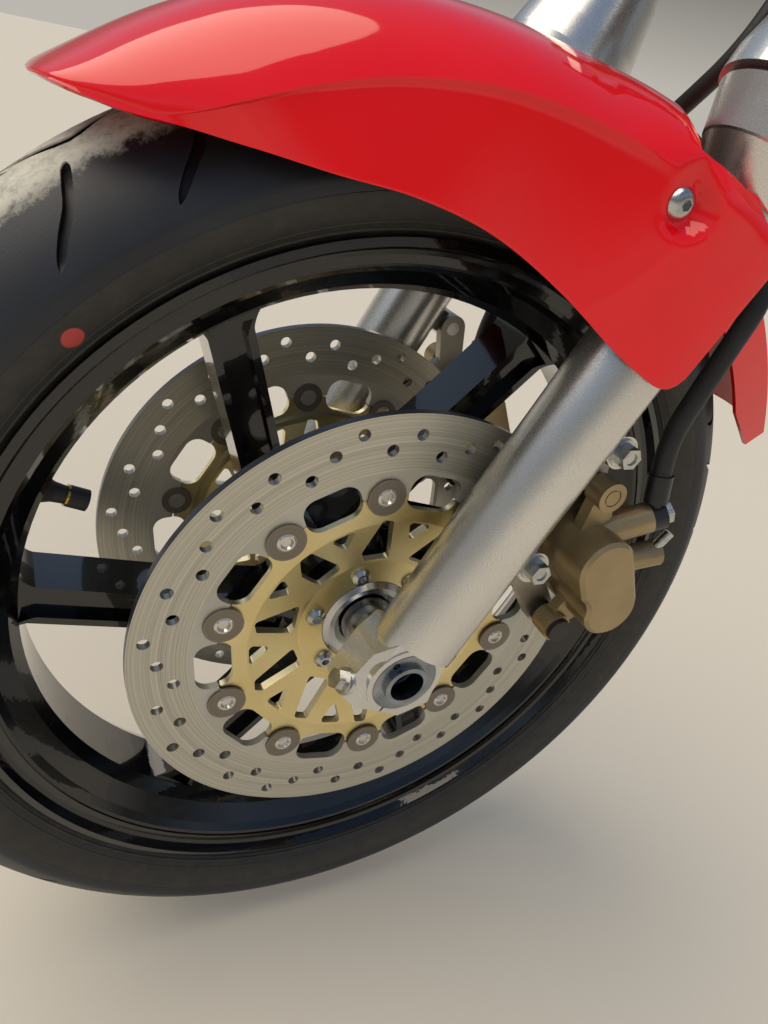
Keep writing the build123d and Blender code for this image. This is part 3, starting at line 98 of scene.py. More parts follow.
camera_data = bpy.data.cameras.new("camera")
camera_data.lens = LENS
camera_data.sensor_width = FRAME_WIDTH
camera_data.clip_start = 10 * MM
camera = bpy.data.objects.new("camera", camera_data)
heading = Matrix.Rotation(math.radians(HEADING), 4, "Z")
lean = Matrix.Rotation(math.radians(90 - BELOW_HORIZON), 4, "X")
tip = Matrix.Rotation(math.radians(TIP), 4, "Z")
camera.matrix_world = Matrix.Translation(CAMERA_PLACE) @ (heading @ lean) @ tip
bpy.context.scene.collection.objects.link(camera)
bpy.context.scene.camera = camera
print("camera", round((CAMERA_PLACE - AXLE).length, 3), "m from the axle")

# %% [markdown]
# Colours are easiest to judge as the hex values that a picture shows, but shaders work in linear light,
# so one function turns the first into the second. Nodes come next: some have several sockets of one
# name and use only those that fit their settings, so sockets are looked up among those in use.


# %% Colours and nodes
def linear(code):
    """An sRGB hex value as a linear colour with alpha."""
    parts = [int(code[index : index + 2], 16) / 255 for index in (1, 3, 5)]
    return (*(part / 12.92 if part <= 0.04045 else ((part + 0.055) / 1.055) ** 2.4 for part in parts), 1.0)


def in_use(sockets, name=None):
    """The first socket that a node's settings leave in use, by name if one is given."""
    return next(socket for socket in sockets if socket.enabled and name in (None, socket.name))


def fill(tree, node, links):
    """Fill sockets, by name or number, with values, outputs, or other nodes' first outputs."""
    for name, value in links.items():
        socket = node.inputs[name] if isinstance(name, int) else in_use(node.inputs, name)
        if isinstance(value, bpy.types.Node):
            value = in_use(value.outputs)
        if isinstance(value, bpy.types.NodeSocket):
            tree.links.new(value, socket)
        else:
            socket.default_value = value


def add(tree, kind, links=None, stops=(), **settings):
    """Add a node with its settings and links and, for a colour ramp, its (position, hex) stops."""
    made = tree.nodes.new("ShaderNode" + kind)
    for name, value in settings.items():
        setattr(made, name, value)
    for _ in stops[2:]:
        made.color_ramp.elements.new(0.5)
    if stops:
        for element, (position, code) in zip(made.color_ramp.elements, stops):
            element.position = position
            element.color = linear(code)
    fill(tree, made, links or {})
    return made


# %% [markdown]
# A finish is one Principled shader. Its patterns are laid on each part's own coordinates, in metres, and
# a pattern's scale comes from how wide its marks are on the real thing.


# %% Finishes
def new_finish(name, **values):
    """A material, its nodes, its shader with some sockets set, and the object coordinates."""
    material = bpy.data.materials.new(name)
    material.use_nodes = True
    tree = material.node_tree
    shader = tree.nodes["Principled BSDF"]
    fill(tree, shader, {socket.replace("_", " "): value for socket, value in values.items()})
    return material, tree, shader, add(tree, "TexCoord").outputs["Object"]


def every(width):
    """The scale of a pattern whose marks are this many millimetres wide."""
    return 1 / (width * MM)


def paint(material, *names):
    """Give solid parts a finish, by their nodes' names."""
    for name in names:
        node = frame["nodes"][name]
        node.data.materials.clear()
        node.data.materials.append(material)
    print(material.name, "on", *names)


# %% [markdown]
# **Gloss black enamel** on the cast wheel. Enamel flows out smooth, so it mirrors its surroundings, but
# never quite flat: a faint orange peel, some 3 mm wide, makes the mirror image swim. Road dust dulls it.

# %% Black enamel
PEEL_WIDTH = 3.125
DUST_WIDTH = 22.22

enamel, tree, shader, place = new_finish(
    "gloss_black_enamel", Specular_IOR_Level=0.2, Coat_Weight=1.0, Coat_Roughness=0.025
)
peel = add(tree, "TexNoise", {"Vector": place, "Scale": every(PEEL_WIDTH), "Detail": 1.0})
dust = add(tree, "TexNoise", {"Vector": place, "Scale": every(DUST_WIDTH), "Detail": 8.0, "Roughness": 0.7})
dust_range = {"From Min": 0.52, "From Max": 0.85, "To Min": 0.18, "To Max": 0.5}
dulled = add(tree, "MapRange", {"Value": dust, **dust_range})
film = add(tree, "ValToRGB", {"Fac": dust}, [(0.58, "#050506"), (0.88, "#161513")])
swim = add(tree, "Bump", {"Height": peel, "Strength": 0.05, "Distance": 0.4 * MM})
fill(tree, shader, {"Base Color": film, "Roughness": dulled, "Coat Normal": swim})
paint(enamel, "wheel_casting")

# %% [markdown]
# Wear on a wheel goes round with it. Patterns that follow the wheel are drawn on each point's distance
# from the axle instead of on its plain coordinates.


# %% Distance from the axle
def from_axle(tree, place):
    """Each point's distance from the axle, and its place seen from the side, about the axle."""
    centred = add(tree, "VectorMath", {0: place, 1: (AXLE.x, 0, AXLE.z)}, operation="SUBTRACT")
    flat = add(tree, "VectorMath", {0: centred, 1: (1, 0, 1)}, operation="MULTIPLY")
    return add(tree, "VectorMath", {0: flat}, operation="LENGTH"), flat


# %% [markdown]
# **Brushed stainless steel** on the disc rings. The pads sweep only the outer band and leave rings in it,
# a few to the millimetre; here they are drawn 0.7 mm wide, so that they show, over bands of 4 mm. Inside
# the swept band the steel keeps its pale ground finish, and at the very rim it is a blue grey. Fine rings
# spread the light across them, which the shader's anisotropy does, with its tangent round the axle.

# %% Disc steel
SWEPT_FROM = 113.0
RIM_FROM = 147.85
RING_WIDTH = 0.6667
BAND_WIDTH = 3.846
PATCH_WIDTH = 71.43

disc_steel, tree, shader, place = new_finish("brushed_stainless_steel", Metallic=0.8, Anisotropic=0.75)
radius, flat = from_axle(tree, place)
rings = add(tree, "TexNoise", {"W": radius, "Scale": every(RING_WIDTH), "Detail": 4.0}, noise_dimensions="1D")
bands = add(tree, "TexNoise", {"W": radius, "Scale": every(BAND_WIDTH), "Detail": 2.0}, noise_dimensions="1D")
patches = add(tree, "TexNoise", {"Vector": place, "Scale": every(PATCH_WIDTH), "Detail": 2.0})
swept_range = {"From Min": SWEPT_FROM * MM, "From Max": (SWEPT_FROM + 1) * MM}
swept = add(tree, "MapRange", {"Value": radius, **swept_range})
streaks = add(tree, "Math", {0: bands, 1: 0.3, 2: rings}, operation="MULTIPLY_ADD")
worn = add(tree, "ValToRGB", {"Fac": streaks}, [(0.42, "#979489"), (0.65, "#b3b0a3"), (0.88, "#cbc8bb")])
ground = add(tree, "ValToRGB", {"Fac": patches}, [(0.3, "#b3b0a4"), (0.7, "#c6c3b7")])
face = add(tree, "Mix", {"Factor": swept, "A": ground, "B": worn}, data_type="RGBA")
rim = add(tree, "MapRange", {"Value": radius, "From Min": RIM_FROM * MM, "From Max": (RIM_FROM + 0.1) * MM})
colour = add(tree, "Mix", {"Factor": rim, "A": face, "B": linear("#5d646e")}, data_type="RGBA")
rough = add(tree, "MapRange", {"Value": swept, "To Min": 0.5, "To Max": 0.3})
round_axle = add(tree, "VectorMath", {0: flat, 1: (0, 1, 0)}, operation="CROSS_PRODUCT")
tangent = add(
    tree,
    "VectorTransform",
    {"Vector": round_axle},
    vector_type="VECTOR",
    convert_from="OBJECT",
    convert_to="WORLD",
)
relief = add(tree, "Bump", {"Height": rings, "Strength": 0.22, "Distance": 0.3 * MM})
fill(tree, shader, {"Base Color": colour, "Roughness": rough, "Tangent": tangent, "Normal": relief})
paint(disc_steel, "left_disc_ring", "right_disc_ring")

# %% [markdown]
# **Gold anodised aluminium** on the disc carriers. The blank is blasted, then anodised, which leaves a
# satin grain and a champagne tint. The walls of its windows are machined, and shine paler: the surface's
# own direction tells them from the face. The grain is drawn 0.7 mm wide, coarser than it is, to show.

# %% Gold carriers
GRAIN_WIDTH = 0.7143
TINT_WIDTH = 45.45

gold, tree, shader, place = new_finish("gold_anodised_aluminium", Metallic=1.0)
grain = add(tree, "TexNoise", {"Vector": place, "Scale": every(GRAIN_WIDTH), "Detail": 3.0})
tint = add(tree, "TexNoise", {"Vector": place, "Scale": every(TINT_WIDTH), "Detail": 4.0})
satin = add(tree, "ValToRGB", {"Fac": tint}, [(0.3, "#dac68a"), (0.7, "#e8d9a6")])
facing = add(tree, "SeparateXYZ", {"Vector": place.node.outputs["Normal"]}).outputs["Y"]
flatness = add(tree, "Math", {0: facing}, operation="ABSOLUTE")
walls = add(tree, "MapRange", {"Value": flatness, "From Min": 0.75, "From Max": 0.35})
colour = add(tree, "Mix", {"Factor": walls, "A": satin, "B": linear("#f3e9c2")}, data_type="RGBA")
rough = add(tree, "MapRange", {"Value": tint, "To Min": 0.34, "To Max": 0.46})
relief = add(tree, "Bump", {"Height": grain, "Strength": 0.25, "Distance": 0.2 * MM})
fill(tree, shader, {"Base Color": colour, "Roughness": rough, "Normal": relief})
paint(gold, "left_disc_carrier", "right_disc_carrier")

# %% [markdown]
# **Small metal parts.** Collars and bearings are turned and polished, bolts and unions zinc plated, the
# axle blued, the fork tubes hard chromed, the caliper brackets cast, and the pads' backing plates nearly
# black. Oxide and brake dust settle on them unevenly, so one builder mixes each from a dark and a light
# tint, with its own gloss and its own grain.


# %% Metals
def metal(name, dark, light, roughness, grain_width, tint_width=40.0, strength=0.15):
    """A metal with a fine grain and slow changes of tint, their widths given in millimetres."""
    material, tree, shader, place = new_finish(name, Metallic=1.0)
    tint = add(tree, "TexNoise", {"Vector": place, "Scale": every(tint_width), "Detail": 5.0})
    grain = add(tree, "TexNoise", {"Vector": place, "Scale": every(grain_width), "Detail": 2.0})
    colour = add(tree, "ValToRGB", {"Fac": tint}, [(0.3, dark), (0.7, light)])
    rough = add(tree, "MapRange", {"Value": tint, "To Min": roughness * 0.8, "To Max": roughness * 1.2})
    relief = add(tree, "Bump", {"Height": grain, "Strength": strength, "Distance": 0.3 * MM})
    fill(tree, shader, {"Base Color": colour, "Roughness": rough, "Normal": relief})
    return material


bearing_steel = metal("polished_bearing_steel", "#a6a8aa", "#cccccb", 0.18, 0.7)
zinc = metal("zinc_plated_steel", "#a9abab", "#d0d0cb", 0.26, 0.9, tint_width=6.0)
blued_steel = metal("blued_steel", "#747c85", "#a3a9ae", 0.26, 0.8, tint_width=15.0)
chrome = metal("hard_chrome", "#c4c6c8", "#d8d9da", 0.07, 3.0, strength=0.02)
bracket_metal = metal("cast_bracket_aluminium", "#99958b", "#b7b2a6", 0.42, 1.2, strength=0.35)
backing = metal("brake_pad_backing", "#2a2928", "#3d3b38", 0.6, 1.0, strength=0.4)
paint(bearing_steel, "hub_collars", "wheel_bearings", "axle_spacers", "steering_stem")
paint(bearing_steel, "lower_head_bearing", "upper_head_bearing")
paint(zinc, "disc_bolts", "caliper_bolts", "mudguard_bolts", "pinch_bolts", "stem_nuts", "slide_pins")
paint(zinc, "hose_splitter")
paint(blued_steel, "axle")
paint(chrome, "left_fork_tube", "right_fork_tube")
paint(bracket_metal, "left_caliper_bracket", "right_caliper_bracket")
paint(backing, "brake_pads")

# %% [markdown]
# **Floating bobbins** hold each disc ring on its carrier. The washer is turned and dull with brake dust,
# the eye in its middle is burnished. Ten sit on one circle, so the angle round the axle is folded into
# one tenth of a turn, and the distance from the bobbin's own axis follows from it.

# %% Distance from a bobbin's axis
BOBBIN_COUNT = 10
BOBBIN_PHASE = 83.5
BOBBIN_CIRCLE = 97.9

bobbin_steel, tree, shader, place = new_finish("turned_bobbin_steel", Metallic=0.8)
radius, flat = from_axle(tree, place)
sides = add(tree, "SeparateXYZ", {"Vector": flat}).outputs
angle = add(tree, "Math", {0: sides["Z"], 1: sides["X"]}, operation="ARCTAN2")
past = add(tree, "Math", {0: angle, 1: math.radians(BOBBIN_PHASE)}, operation="SUBTRACT")
half_step = math.pi / BOBBIN_COUNT
fold = add(tree, "Math", {0: past, 1: half_step, 2: -half_step}, operation="WRAP")
sine = add(tree, "Math", {0: fold}, operation="SINE")
cosine = add(tree, "Math", {0: fold}, operation="COSINE")
beside = add(tree, "Math", {0: radius, 1: sine}, operation="MULTIPLY")
outwards = add(tree, "Math", {0: radius, 1: cosine}, operation="MULTIPLY")
beyond = add(tree, "Math", {0: outwards, 1: BOBBIN_CIRCLE * MM}, operation="SUBTRACT")
offset = add(tree, "CombineXYZ", {"X": beside, "Y": beyond})
from_bobbin = add(tree, "VectorMath", {0: offset}, operation="LENGTH")
print("bobbins every", round(math.degrees(2 * half_step)), "degrees")

# %% [markdown]
# The washer's lathe marks are rings about the bobbin, drawn half a millimetre wide, and the bright eye
# ends in a soft border.

# %% Bobbin steel
EYE_RADIUS = 5.5
EYE_BORDER = 0.2
LATHE_WIDTH = 0.5556

lathe_marks = {"W": from_bobbin, "Scale": every(LATHE_WIDTH), "Detail": 2.0}
lathe = add(tree, "TexNoise", lathe_marks, noise_dimensions="1D")
washer = add(tree, "ValToRGB", {"Fac": lathe}, [(0.3, "#6a645a"), (0.7, "#877f74")])
eye_range = {"From Min": (EYE_RADIUS + EYE_BORDER) * MM, "From Max": (EYE_RADIUS - EYE_BORDER) * MM}
eye = add(tree, "MapRange", {"Value": from_bobbin, **eye_range})
colour = add(tree, "Mix", {"Factor": eye, "A": washer, "B": linear("#c9c5bb")}, data_type="RGBA")
rough = add(tree, "MapRange", {"Value": eye, "To Min": 0.38, "To Max": 0.18})
relief = add(tree, "Bump", {"Height": lathe, "Strength": 0.2, "Distance": 0.2 * MM})
fill(tree, shader, {"Base Color": colour, "Roughness": rough, "Normal": relief})
paint(bobbin_steel, "left_disc_bobbins", "right_disc_bobbins")

# %% [markdown]
# **Silver enamel** on the fork sliders: fine aluminium flakes in a clear binder over cast aluminium. It
# shines along the leg like a satin metal and shows each flake only close up. Real flakes are a tenth of
# the width that they are drawn with here.

# %% Silver enamel
FLAKE_WIDTH = 0.4167
CLOUD_WIDTH = 83.33

silver, tree, shader, place = new_finish("satin_silver_enamel", Metallic=0.95)
flakes = add(tree, "TexVoronoi", {"Vector": place, "Scale": every(FLAKE_WIDTH)})
clouds = add(tree, "TexNoise", {"Vector": place, "Scale": every(CLOUD_WIDTH), "Detail": 3.0})
colour = add(tree, "ValToRGB", {"Fac": clouds}, [(0.3, "#cfcdc8"), (0.7, "#dcdad5")])
rough = add(tree, "MapRange", {"Value": flakes, "To Min": 0.22, "To Max": 0.34})
relief = add(tree, "Bump", {"Height": flakes, "Strength": 0.06, "Distance": 0.3 * MM})
fill(tree, shader, {"Base Color": colour, "Roughness": rough, "Normal": relief})
paint(silver, "left_fork_slider", "right_fork_slider", "left_slider_cover", "right_slider_cover")

# %% [markdown]
# **Bronze enamel** on the sliding calipers, a baked metallic paint over a sand casting: warm, half matt,
# with the casting's pebbled skin under it.

# %% Bronze enamel
PEBBLE_WIDTH = 1.4286
SHADE_WIDTH = 40.0

bronze, tree, shader, place = new_finish("bronze_metallic_enamel", Metallic=0.75, Roughness=0.36)
pebbles = add(tree, "TexNoise", {"Vector": place, "Scale": every(PEBBLE_WIDTH), "Detail": 3.0})
shade = add(tree, "TexNoise", {"Vector": place, "Scale": every(SHADE_WIDTH), "Detail": 3.0})
colour = add(tree, "ValToRGB", {"Fac": shade}, [(0.3, "#907f5f"), (0.7, "#a79470")])
relief = add(tree, "Bump", {"Height": pebbles, "Strength": 0.3, "Distance": 0.4 * MM})
fill(tree, shader, {"Base Color": colour, "Normal": relief})
paint(bronze, "left_caliper_body", "right_caliper_body")

# %% [markdown]
# **Rubber and satin black**. Moulded rubber is matt and a little grey with bloom; the yokes' powder coat
# is smoother, with a fine pebble.

# %% Rubber and satin black
BLOOM_WIDTH = 55.56


def dull_black(name, dark, light, roughness, grain_width, strength):
    """A dark, matt finish with an even grain and patches of bloom."""
    material, tree, shader, place = new_finish(name, Roughness=roughness)
    grain = add(tree, "TexNoise", {"Vector": place, "Scale": every(grain_width), "Detail": 4.0})
    bloom = add(tree, "TexNoise", {"Vector": place, "Scale": every(BLOOM_WIDTH), "Detail": 5.0})
    colour = add(tree, "ValToRGB", {"Fac": bloom}, [(0.35, dark), (0.7, light)])
    relief = add(tree, "Bump", {"Height": grain, "Strength": strength, "Distance": 0.4 * MM})
    fill(tree, shader, {"Base Color": colour, "Normal": relief})
    return material


soft_rubber = dull_black("black_rubber", "#141415", "#222221", 0.55, 0.8, 0.3)
powder_coat = dull_black("satin_black_powder_coat", "#131314", "#1d1d1e", 0.4, 0.6, 0.2)
paint(soft_rubber, "valve_stem", "dust_seals", "pin_boots", "dust_caps")
paint(soft_rubber, "left_brake_hose", "right_brake_hose")
paint(powder_coat, "lower_yoke", "top_yoke", "fork_caps", "brake_fittings")

# %% [markdown]
# **Red lacquer** on the mudguards: a solid red under clear lacquer, moulded plastic below. The clear coat
# is what mirrors the sky, with faint waves in it; the red under it stays nearly even.

# %% Red lacquer
DEPTH_WIDTH = 111.1
WAVE_WIDTH = 16.67

lacquer, tree, shader, place = new_finish(
    "red_clear_lacquer", Roughness=0.45, Specular_IOR_Level=0.1, Coat_Weight=1.0, Coat_Roughness=0.05
)
depth = add(tree, "TexNoise", {"Vector": place, "Scale": every(DEPTH_WIDTH), "Detail": 2.0})
colour = add(tree, "ValToRGB", {"Fac": depth}, [(0.3, "#c4000a"), (0.7, "#ce000e")])
waves = add(tree, "TexNoise", {"Vector": place, "Scale": every(WAVE_WIDTH), "Detail": 1.0})
swim = add(tree, "Bump", {"Height": waves, "Strength": 0.05, "Distance": 1.0 * MM})
fill(tree, shader, {"Base Color": colour, "Coat Normal": swim})
paint(lacquer, "mudguard", "mudguard_rear")

# %% [markdown]
# Each modelled piece ends the same way: its bmesh becomes an object at the origin, gentle turns are
# shaded smooth and real corners stay sharp, it is told which body it rides on, and the solid parts that it
# stands for are hidden.

# %% From bmesh to piece
SMOOTH_BELOW = 32.0


def shape_of(name, mesh):
    """A linked object that holds the bmesh."""
    data = bpy.data.meshes.new(name)
    mesh.to_mesh(data)
    mesh.free()
    made = bpy.data.objects.new(name, data)
    bpy.context.scene.collection.objects.link(made)
    return made


def apply_modifiers(made):
    """Replace the object's mesh with the one that its modifiers give."""
    ready = made.evaluated_get(bpy.context.evaluated_depsgraph_get())
    data = bpy.data.meshes.new_from_object(ready)
    made.modifiers.clear()
    made.data = data


def carve(made, cutters):
    """Subtract one object from another, then drop the cutter."""
    cut = made.modifiers.new("carve", "BOOLEAN")
    cut.operation = "DIFFERENCE"
    cut.solver = "MANIFOLD"
    cut.object = cutters
    apply_modifiers(made)
    bpy.data.objects.remove(cutters)


def dress(made, material, body, slot, *stands_for):
    """Shade by angle, give the finish, and hand the piece to its body."""
    data = made.data
    data.materials.clear()
    data.materials.append(material)
    mesh = bmesh.new()
    mesh.from_mesh(data)
    for face in mesh.faces:
        face.smooth = True
        face.material_index = 0
    for edge in mesh.edges:
        edge.smooth = edge.calc_face_angle(0.0) < math.radians(SMOOTH_BELOW)
    print(made.name, "triangles", sum(len(face.verts) - 2 for face in mesh.faces))
    mesh.to_mesh(data)
    mesh.free()
    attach(made, body)
    if stands_for:
        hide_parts(*stands_for)


# %% [markdown]
# ** Tyre rubber.** Rubber is near black with a low sheen, and its blue tint is painted shade under sky light.
# Over the crown lies a pale band with a ragged border, road dust and scuffing together with painted sunlight,
# while the grooves are painted black as their shade and a brownish film lies near the rim. All of it
# follows the section, so the shader asks how far a point is from the axle and from the middle plane.

# %% Where the tyre gets dust and painted sunlight, painted groove shade, or film
TREAD_CENTRE = 233.5
TREAD_ROUND = 66.5
CLUMP_SIZE = 9.091
BORDER_WANDER = 34.0
# Edge of the pale crown band of road dust and painted sunlight, in millimetres from the middle plane
DUST_AND_PAINTED_LIGHT_EDGE = (43.0, 53.0)
# Painted groove shade is laid only on the tread, beyond this radius
GROOVES_FROM = 264.0
FILM_EDGE = (255.6, 254.0)

tyre_rubber, tree, shader, place = new_finish("moulded_tyre_rubber")
radius, flat = from_axle(tree, place)
across = add(tree, "SeparateXYZ", {"Vector": place}).outputs["Y"]
beside = add(tree, "Math", {0: across}, operation="ABSOLUTE")
clumps = add(tree, "TexNoise", {"Vector": place, "Scale": every(CLUMP_SIZE), "Detail": 8.0, "Roughness": 0.8})
border = add(tree, "Math", {0: clumps, 1: BORDER_WANDER * MM, 2: beside}, operation="MULTIPLY_ADD")
dust_and_painted_light_range = {"From Min": DUST_AND_PAINTED_LIGHT_EDGE[0] * MM, "From Max": DUST_AND_PAINTED_LIGHT_EDGE[1] * MM, "To Min": 1.0, "To Max": 0.0}
# Mask of the pale crown band: road dust together with painted sunlight; past its border the rubber is
# coloured as in shade
dust_and_painted_light = add(tree, "MapRange", {"Value": border, **dust_and_painted_light_range}, interpolation_type="SMOOTHSTEP")
past_centre = add(tree, "Math", {0: radius, 1: TREAD_CENTRE * MM}, operation="SUBTRACT")
section = add(tree, "CombineXYZ", {"X": past_centre, "Y": across})
reach = add(tree, "VectorMath", {0: section}, operation="LENGTH")
sunk_range = {"From Min": (TREAD_ROUND - 0.5) * MM, "From Max": (TREAD_ROUND - 1.1) * MM}
sunk = add(tree, "MapRange", {"Value": reach, **sunk_range})
tread_range = {"From Min": GROOVES_FROM * MM, "From Max": (GROOVES_FROM + 1) * MM}
on_tread_only = add(tree, "MapRange", {"Value": radius, **tread_range})
# Painted shade: the grooves are coloured near black, as their own shade
painted_groove_shade = add(tree, "Math", {0: sunk, 1: on_tread_only}, operation="MULTIPLY")
low = add(tree, "MapRange", {"Value": radius, "From Min": FILM_EDGE[0] * MM, "From Max": FILM_EDGE[1] * MM})
print("scuffed to about", sum(DUST_AND_PAINTED_LIGHT_EDGE) / 2 - BORDER_WANDER / 2, "mm from the middle plane")

# %% [markdown]
# The colours are laid over one another in that order: rubber with its painted blue shade and the film at
# the rim, the pale band of road dust and painted sunlight, painted black shade in the grooves. Last comes
# a small red paint dot, which marks the tyre's light spot as fitters leave it. Dust is matt, so the pale
# band is rougher too.

# %% Tyre colours
SLOW_WIDTH = 62.5
SKIN_WIDTH = 1.111
PAINT_DOT = on_wheel(245.0, 46.0, 56.9)
PAINT_DOT_EDGE = (5.4, 4.8)

slow = add(tree, "TexNoise", {"Vector": place, "Scale": every(SLOW_WIDTH), "Detail": 5.0})
# The rubber's own near black, with a blue tint that is painted sky-lit shade
rubber_with_painted_shade = add(tree, "ValToRGB", {"Fac": slow}, [(0.3, "#101216"), (0.7, "#1b1e24")])
grime = add(tree, "ValToRGB", {"Fac": clumps}, [(0.35, "#171716"), (0.7, "#2a2825")])
wall = add(tree, "Mix", {"Factor": low, "A": rubber_with_painted_shade, "B": grime}, data_type="RGBA")
# Pale ramp of the crown band: road dust together with painted sunlight
dust = add(tree, "ValToRGB", {"Fac": clumps}, [(0.3, "#7d7b72"), (0.5, "#b1afa3"), (0.7, "#cac8bb")])
with_dust_and_painted_light = add(tree, "Mix", {"Factor": dust_and_painted_light, "A": wall, "B": dust}, data_type="RGBA")
# The near black #08080a in the grooves is painted shade
deep = add(tree, "Mix", {"Factor": painted_groove_shade, "A": with_dust_and_painted_light, "B": linear("#08080a")}, data_type="RGBA")
from_dot = add(tree, "VectorMath", {0: place, 1: PAINT_DOT}, operation="DISTANCE")
dot_range = {"From Min": PAINT_DOT_EDGE[0] * MM, "From Max": PAINT_DOT_EDGE[1] * MM}
dotted = add(tree, "MapRange", {"Value": from_dot, **dot_range})
colour = add(tree, "Mix", {"Factor": dotted, "A": deep, "B": linear("#9c3531")}, data_type="RGBA")
rough = add(tree, "MapRange", {"Value": dust_and_painted_light, "To Min": 0.5, "To Max": 0.85})
skin = add(tree, "TexNoise", {"Vector": place, "Scale": every(SKIN_WIDTH), "Detail": 3.0})
relief = add(tree, "Bump", {"Height": skin, "Strength": 0.3, "Distance": 0.3 * MM})
fill(tree, shader, {"Base Color": colour, "Roughness": rough, "Normal": relief})
print("paint dot", tuple(round(part, 3) for part in PAINT_DOT))

# %% [markdown]
# Everything round on this wheel can be drawn as on a lathe: a line of points is the outline, and a spin
# about an axis gives the body. A full spin leaves its seam and its poles double, so they are welded.

# %% Lathe
WELD = 0.01 * MM


def spun(mesh, geometry, centre, axis, degrees, steps, merge=False):
    """bmesh's spin, with its angle in degrees; gives what the last step made."""
    return bmesh.ops.spin(
        mesh, geom=geometry, cent=centre, axis=axis, angle=math.radians(degrees), steps=steps, use_merge=merge
    )["geom_last"]


def close(mesh):
    """Weld what a full turn leaves double, and point the faces outwards."""
    bmesh.ops.remove_doubles(mesh, verts=mesh.verts, dist=WELD)
    bmesh.ops.recalc_face_normals(mesh, faces=mesh.faces)


def drawn(mesh, last, points):
    """Grow a line from its last vertex through the points."""
    for point in points:
        grown = bmesh.ops.extrude_vert_indiv(mesh, verts=last)["verts"]
        bmesh.ops.translate(mesh, verts=grown, vec=point - grown[0].co)
        last = grown


def off_lathe(name, profile, foot, axis, steps=64):
    """A part off the lathe, from the (radius, height) millimetres of its outline."""
    mesh = bmesh.new()
    aside = axis.orthogonal().normalized()
    points = [foot + (aside * radius + axis * height) * MM for radius, height in profile]
    drawn(mesh, bmesh.ops.create_vert(mesh, co=points[0])["vert"], points[1:])
    spun(mesh, mesh.verts[:] + mesh.edges[:], foot, axis, 360, steps, merge=True)
    close(mesh)
    return shape_of(name, mesh)


# %% [markdown]
# **The tyre.** Its section is two arcs, a rounder one for the tread and a tighter one for the sidewall,
# then the bead and the inside. Spinning a point about each arc's centre draws the arcs, the mirror gives
# the other half, and spinning the section about the axle makes the tyre.

# %% Tyre body
TREAD_LEAN = 64.6
TREAD_STEPS = 34
WALL_CENTRE = (258.7, 29.05)
WALL_TURN = 52.3
WALL_STEPS = 14
BEAD = [(232.4, 46.1), (230.0, 44.4), (218.4, 44.4), (218.4, 33.0)]
INSIDE = [(229.0, 38.0), (256.0, 50.0), (281.0, 28.0), (291.0, 0.0)]
SPIN_STEPS = 240
STANDING = (0, 0, 1)


def half_section(mesh):
    """The left half of the tyre's section, straight ahead of the axle."""
    last = bmesh.ops.create_vert(mesh, co=on_wheel(TREAD_CENTRE + TREAD_ROUND, 0))["vert"]
    last = spun(mesh, last, on_wheel(TREAD_CENTRE, 0), STANDING, TREAD_LEAN, TREAD_STEPS)
    last = spun(mesh, last, on_wheel(WALL_CENTRE[0], 0, WALL_CENTRE[1]), STANDING, WALL_TURN, WALL_STEPS)
    drawn(mesh, last, [on_wheel(radius, 0, across) for radius, across in BEAD + INSIDE])


tyre_mesh = bmesh.new()
half_section(tyre_mesh)
bmesh.ops.mirror(tyre_mesh, geom=tyre_mesh.verts[:] + tyre_mesh.edges[:], axis="Y", merge_dist=0.1 * MM)
spun(tyre_mesh, tyre_mesh.verts[:] + tyre_mesh.edges[:], AXLE, LEFT, 360, SPIN_STEPS, merge=True)
close(tyre_mesh)
tyre = shape_of("tyre_with_tread", tyre_mesh)
print("tyre", round(2 * (TREAD_CENTRE + TREAD_ROUND)), "mm across, faces", len(tyre.data.polygons))

# %% [markdown]
# Two forms here, a groove and later the mudguard, are known only at some stations. A smooth curve through
# them keeps edges and reflections clean: between two stations it is a cubic whose slopes come from the
# stations on either side.


# %% Smooth curve through stations
def slope(rows, index, column):
    """How fast a column changes at a row, from the rows beside it."""
    low = rows[max(index - 1, 0)]
    high = rows[min(index + 1, len(rows) - 1)]
    return (high[column] - low[column]) / (high[0] - low[0])


def between(rows, place):
    """The other columns' values where the first column has the given one."""
    last = len(rows) - 1
    step = next((index for index in range(last) if place <= rows[index + 1][0]), last - 1)
    left, right = rows[step], rows[step + 1]
    width = right[0] - left[0]
    share = (place - left[0]) / width
    weights = [
        2 * share**3 - 3 * share**2 + 1,
        share**3 - 2 * share**2 + share,
        3 * share**2 - 2 * share**3,
        share**3 - share**2,
    ]
    values = []
    for column in range(1, len(left)):
        leaving = slope(rows, step, column) * width
        arriving = slope(rows, step + 1, column) * width
        parts = [left[column], leaving, right[column], arriving]
        values.append(sum(weight * part for weight, part in zip(weights, parts)))
    return values


# %% [markdown]
# Grooves are cut as the mould cuts them. A cutter is a small square, swept by extrusion from station to
# station over the tread: each station says how far it leans from the crown, where it stands round the
# wheel, and how wide it is there, so a groove can bend and end in a point. Extruding a face again leaves
# the old one inside, and a cutter has to be a closed skin, so the old face is deleted each time.

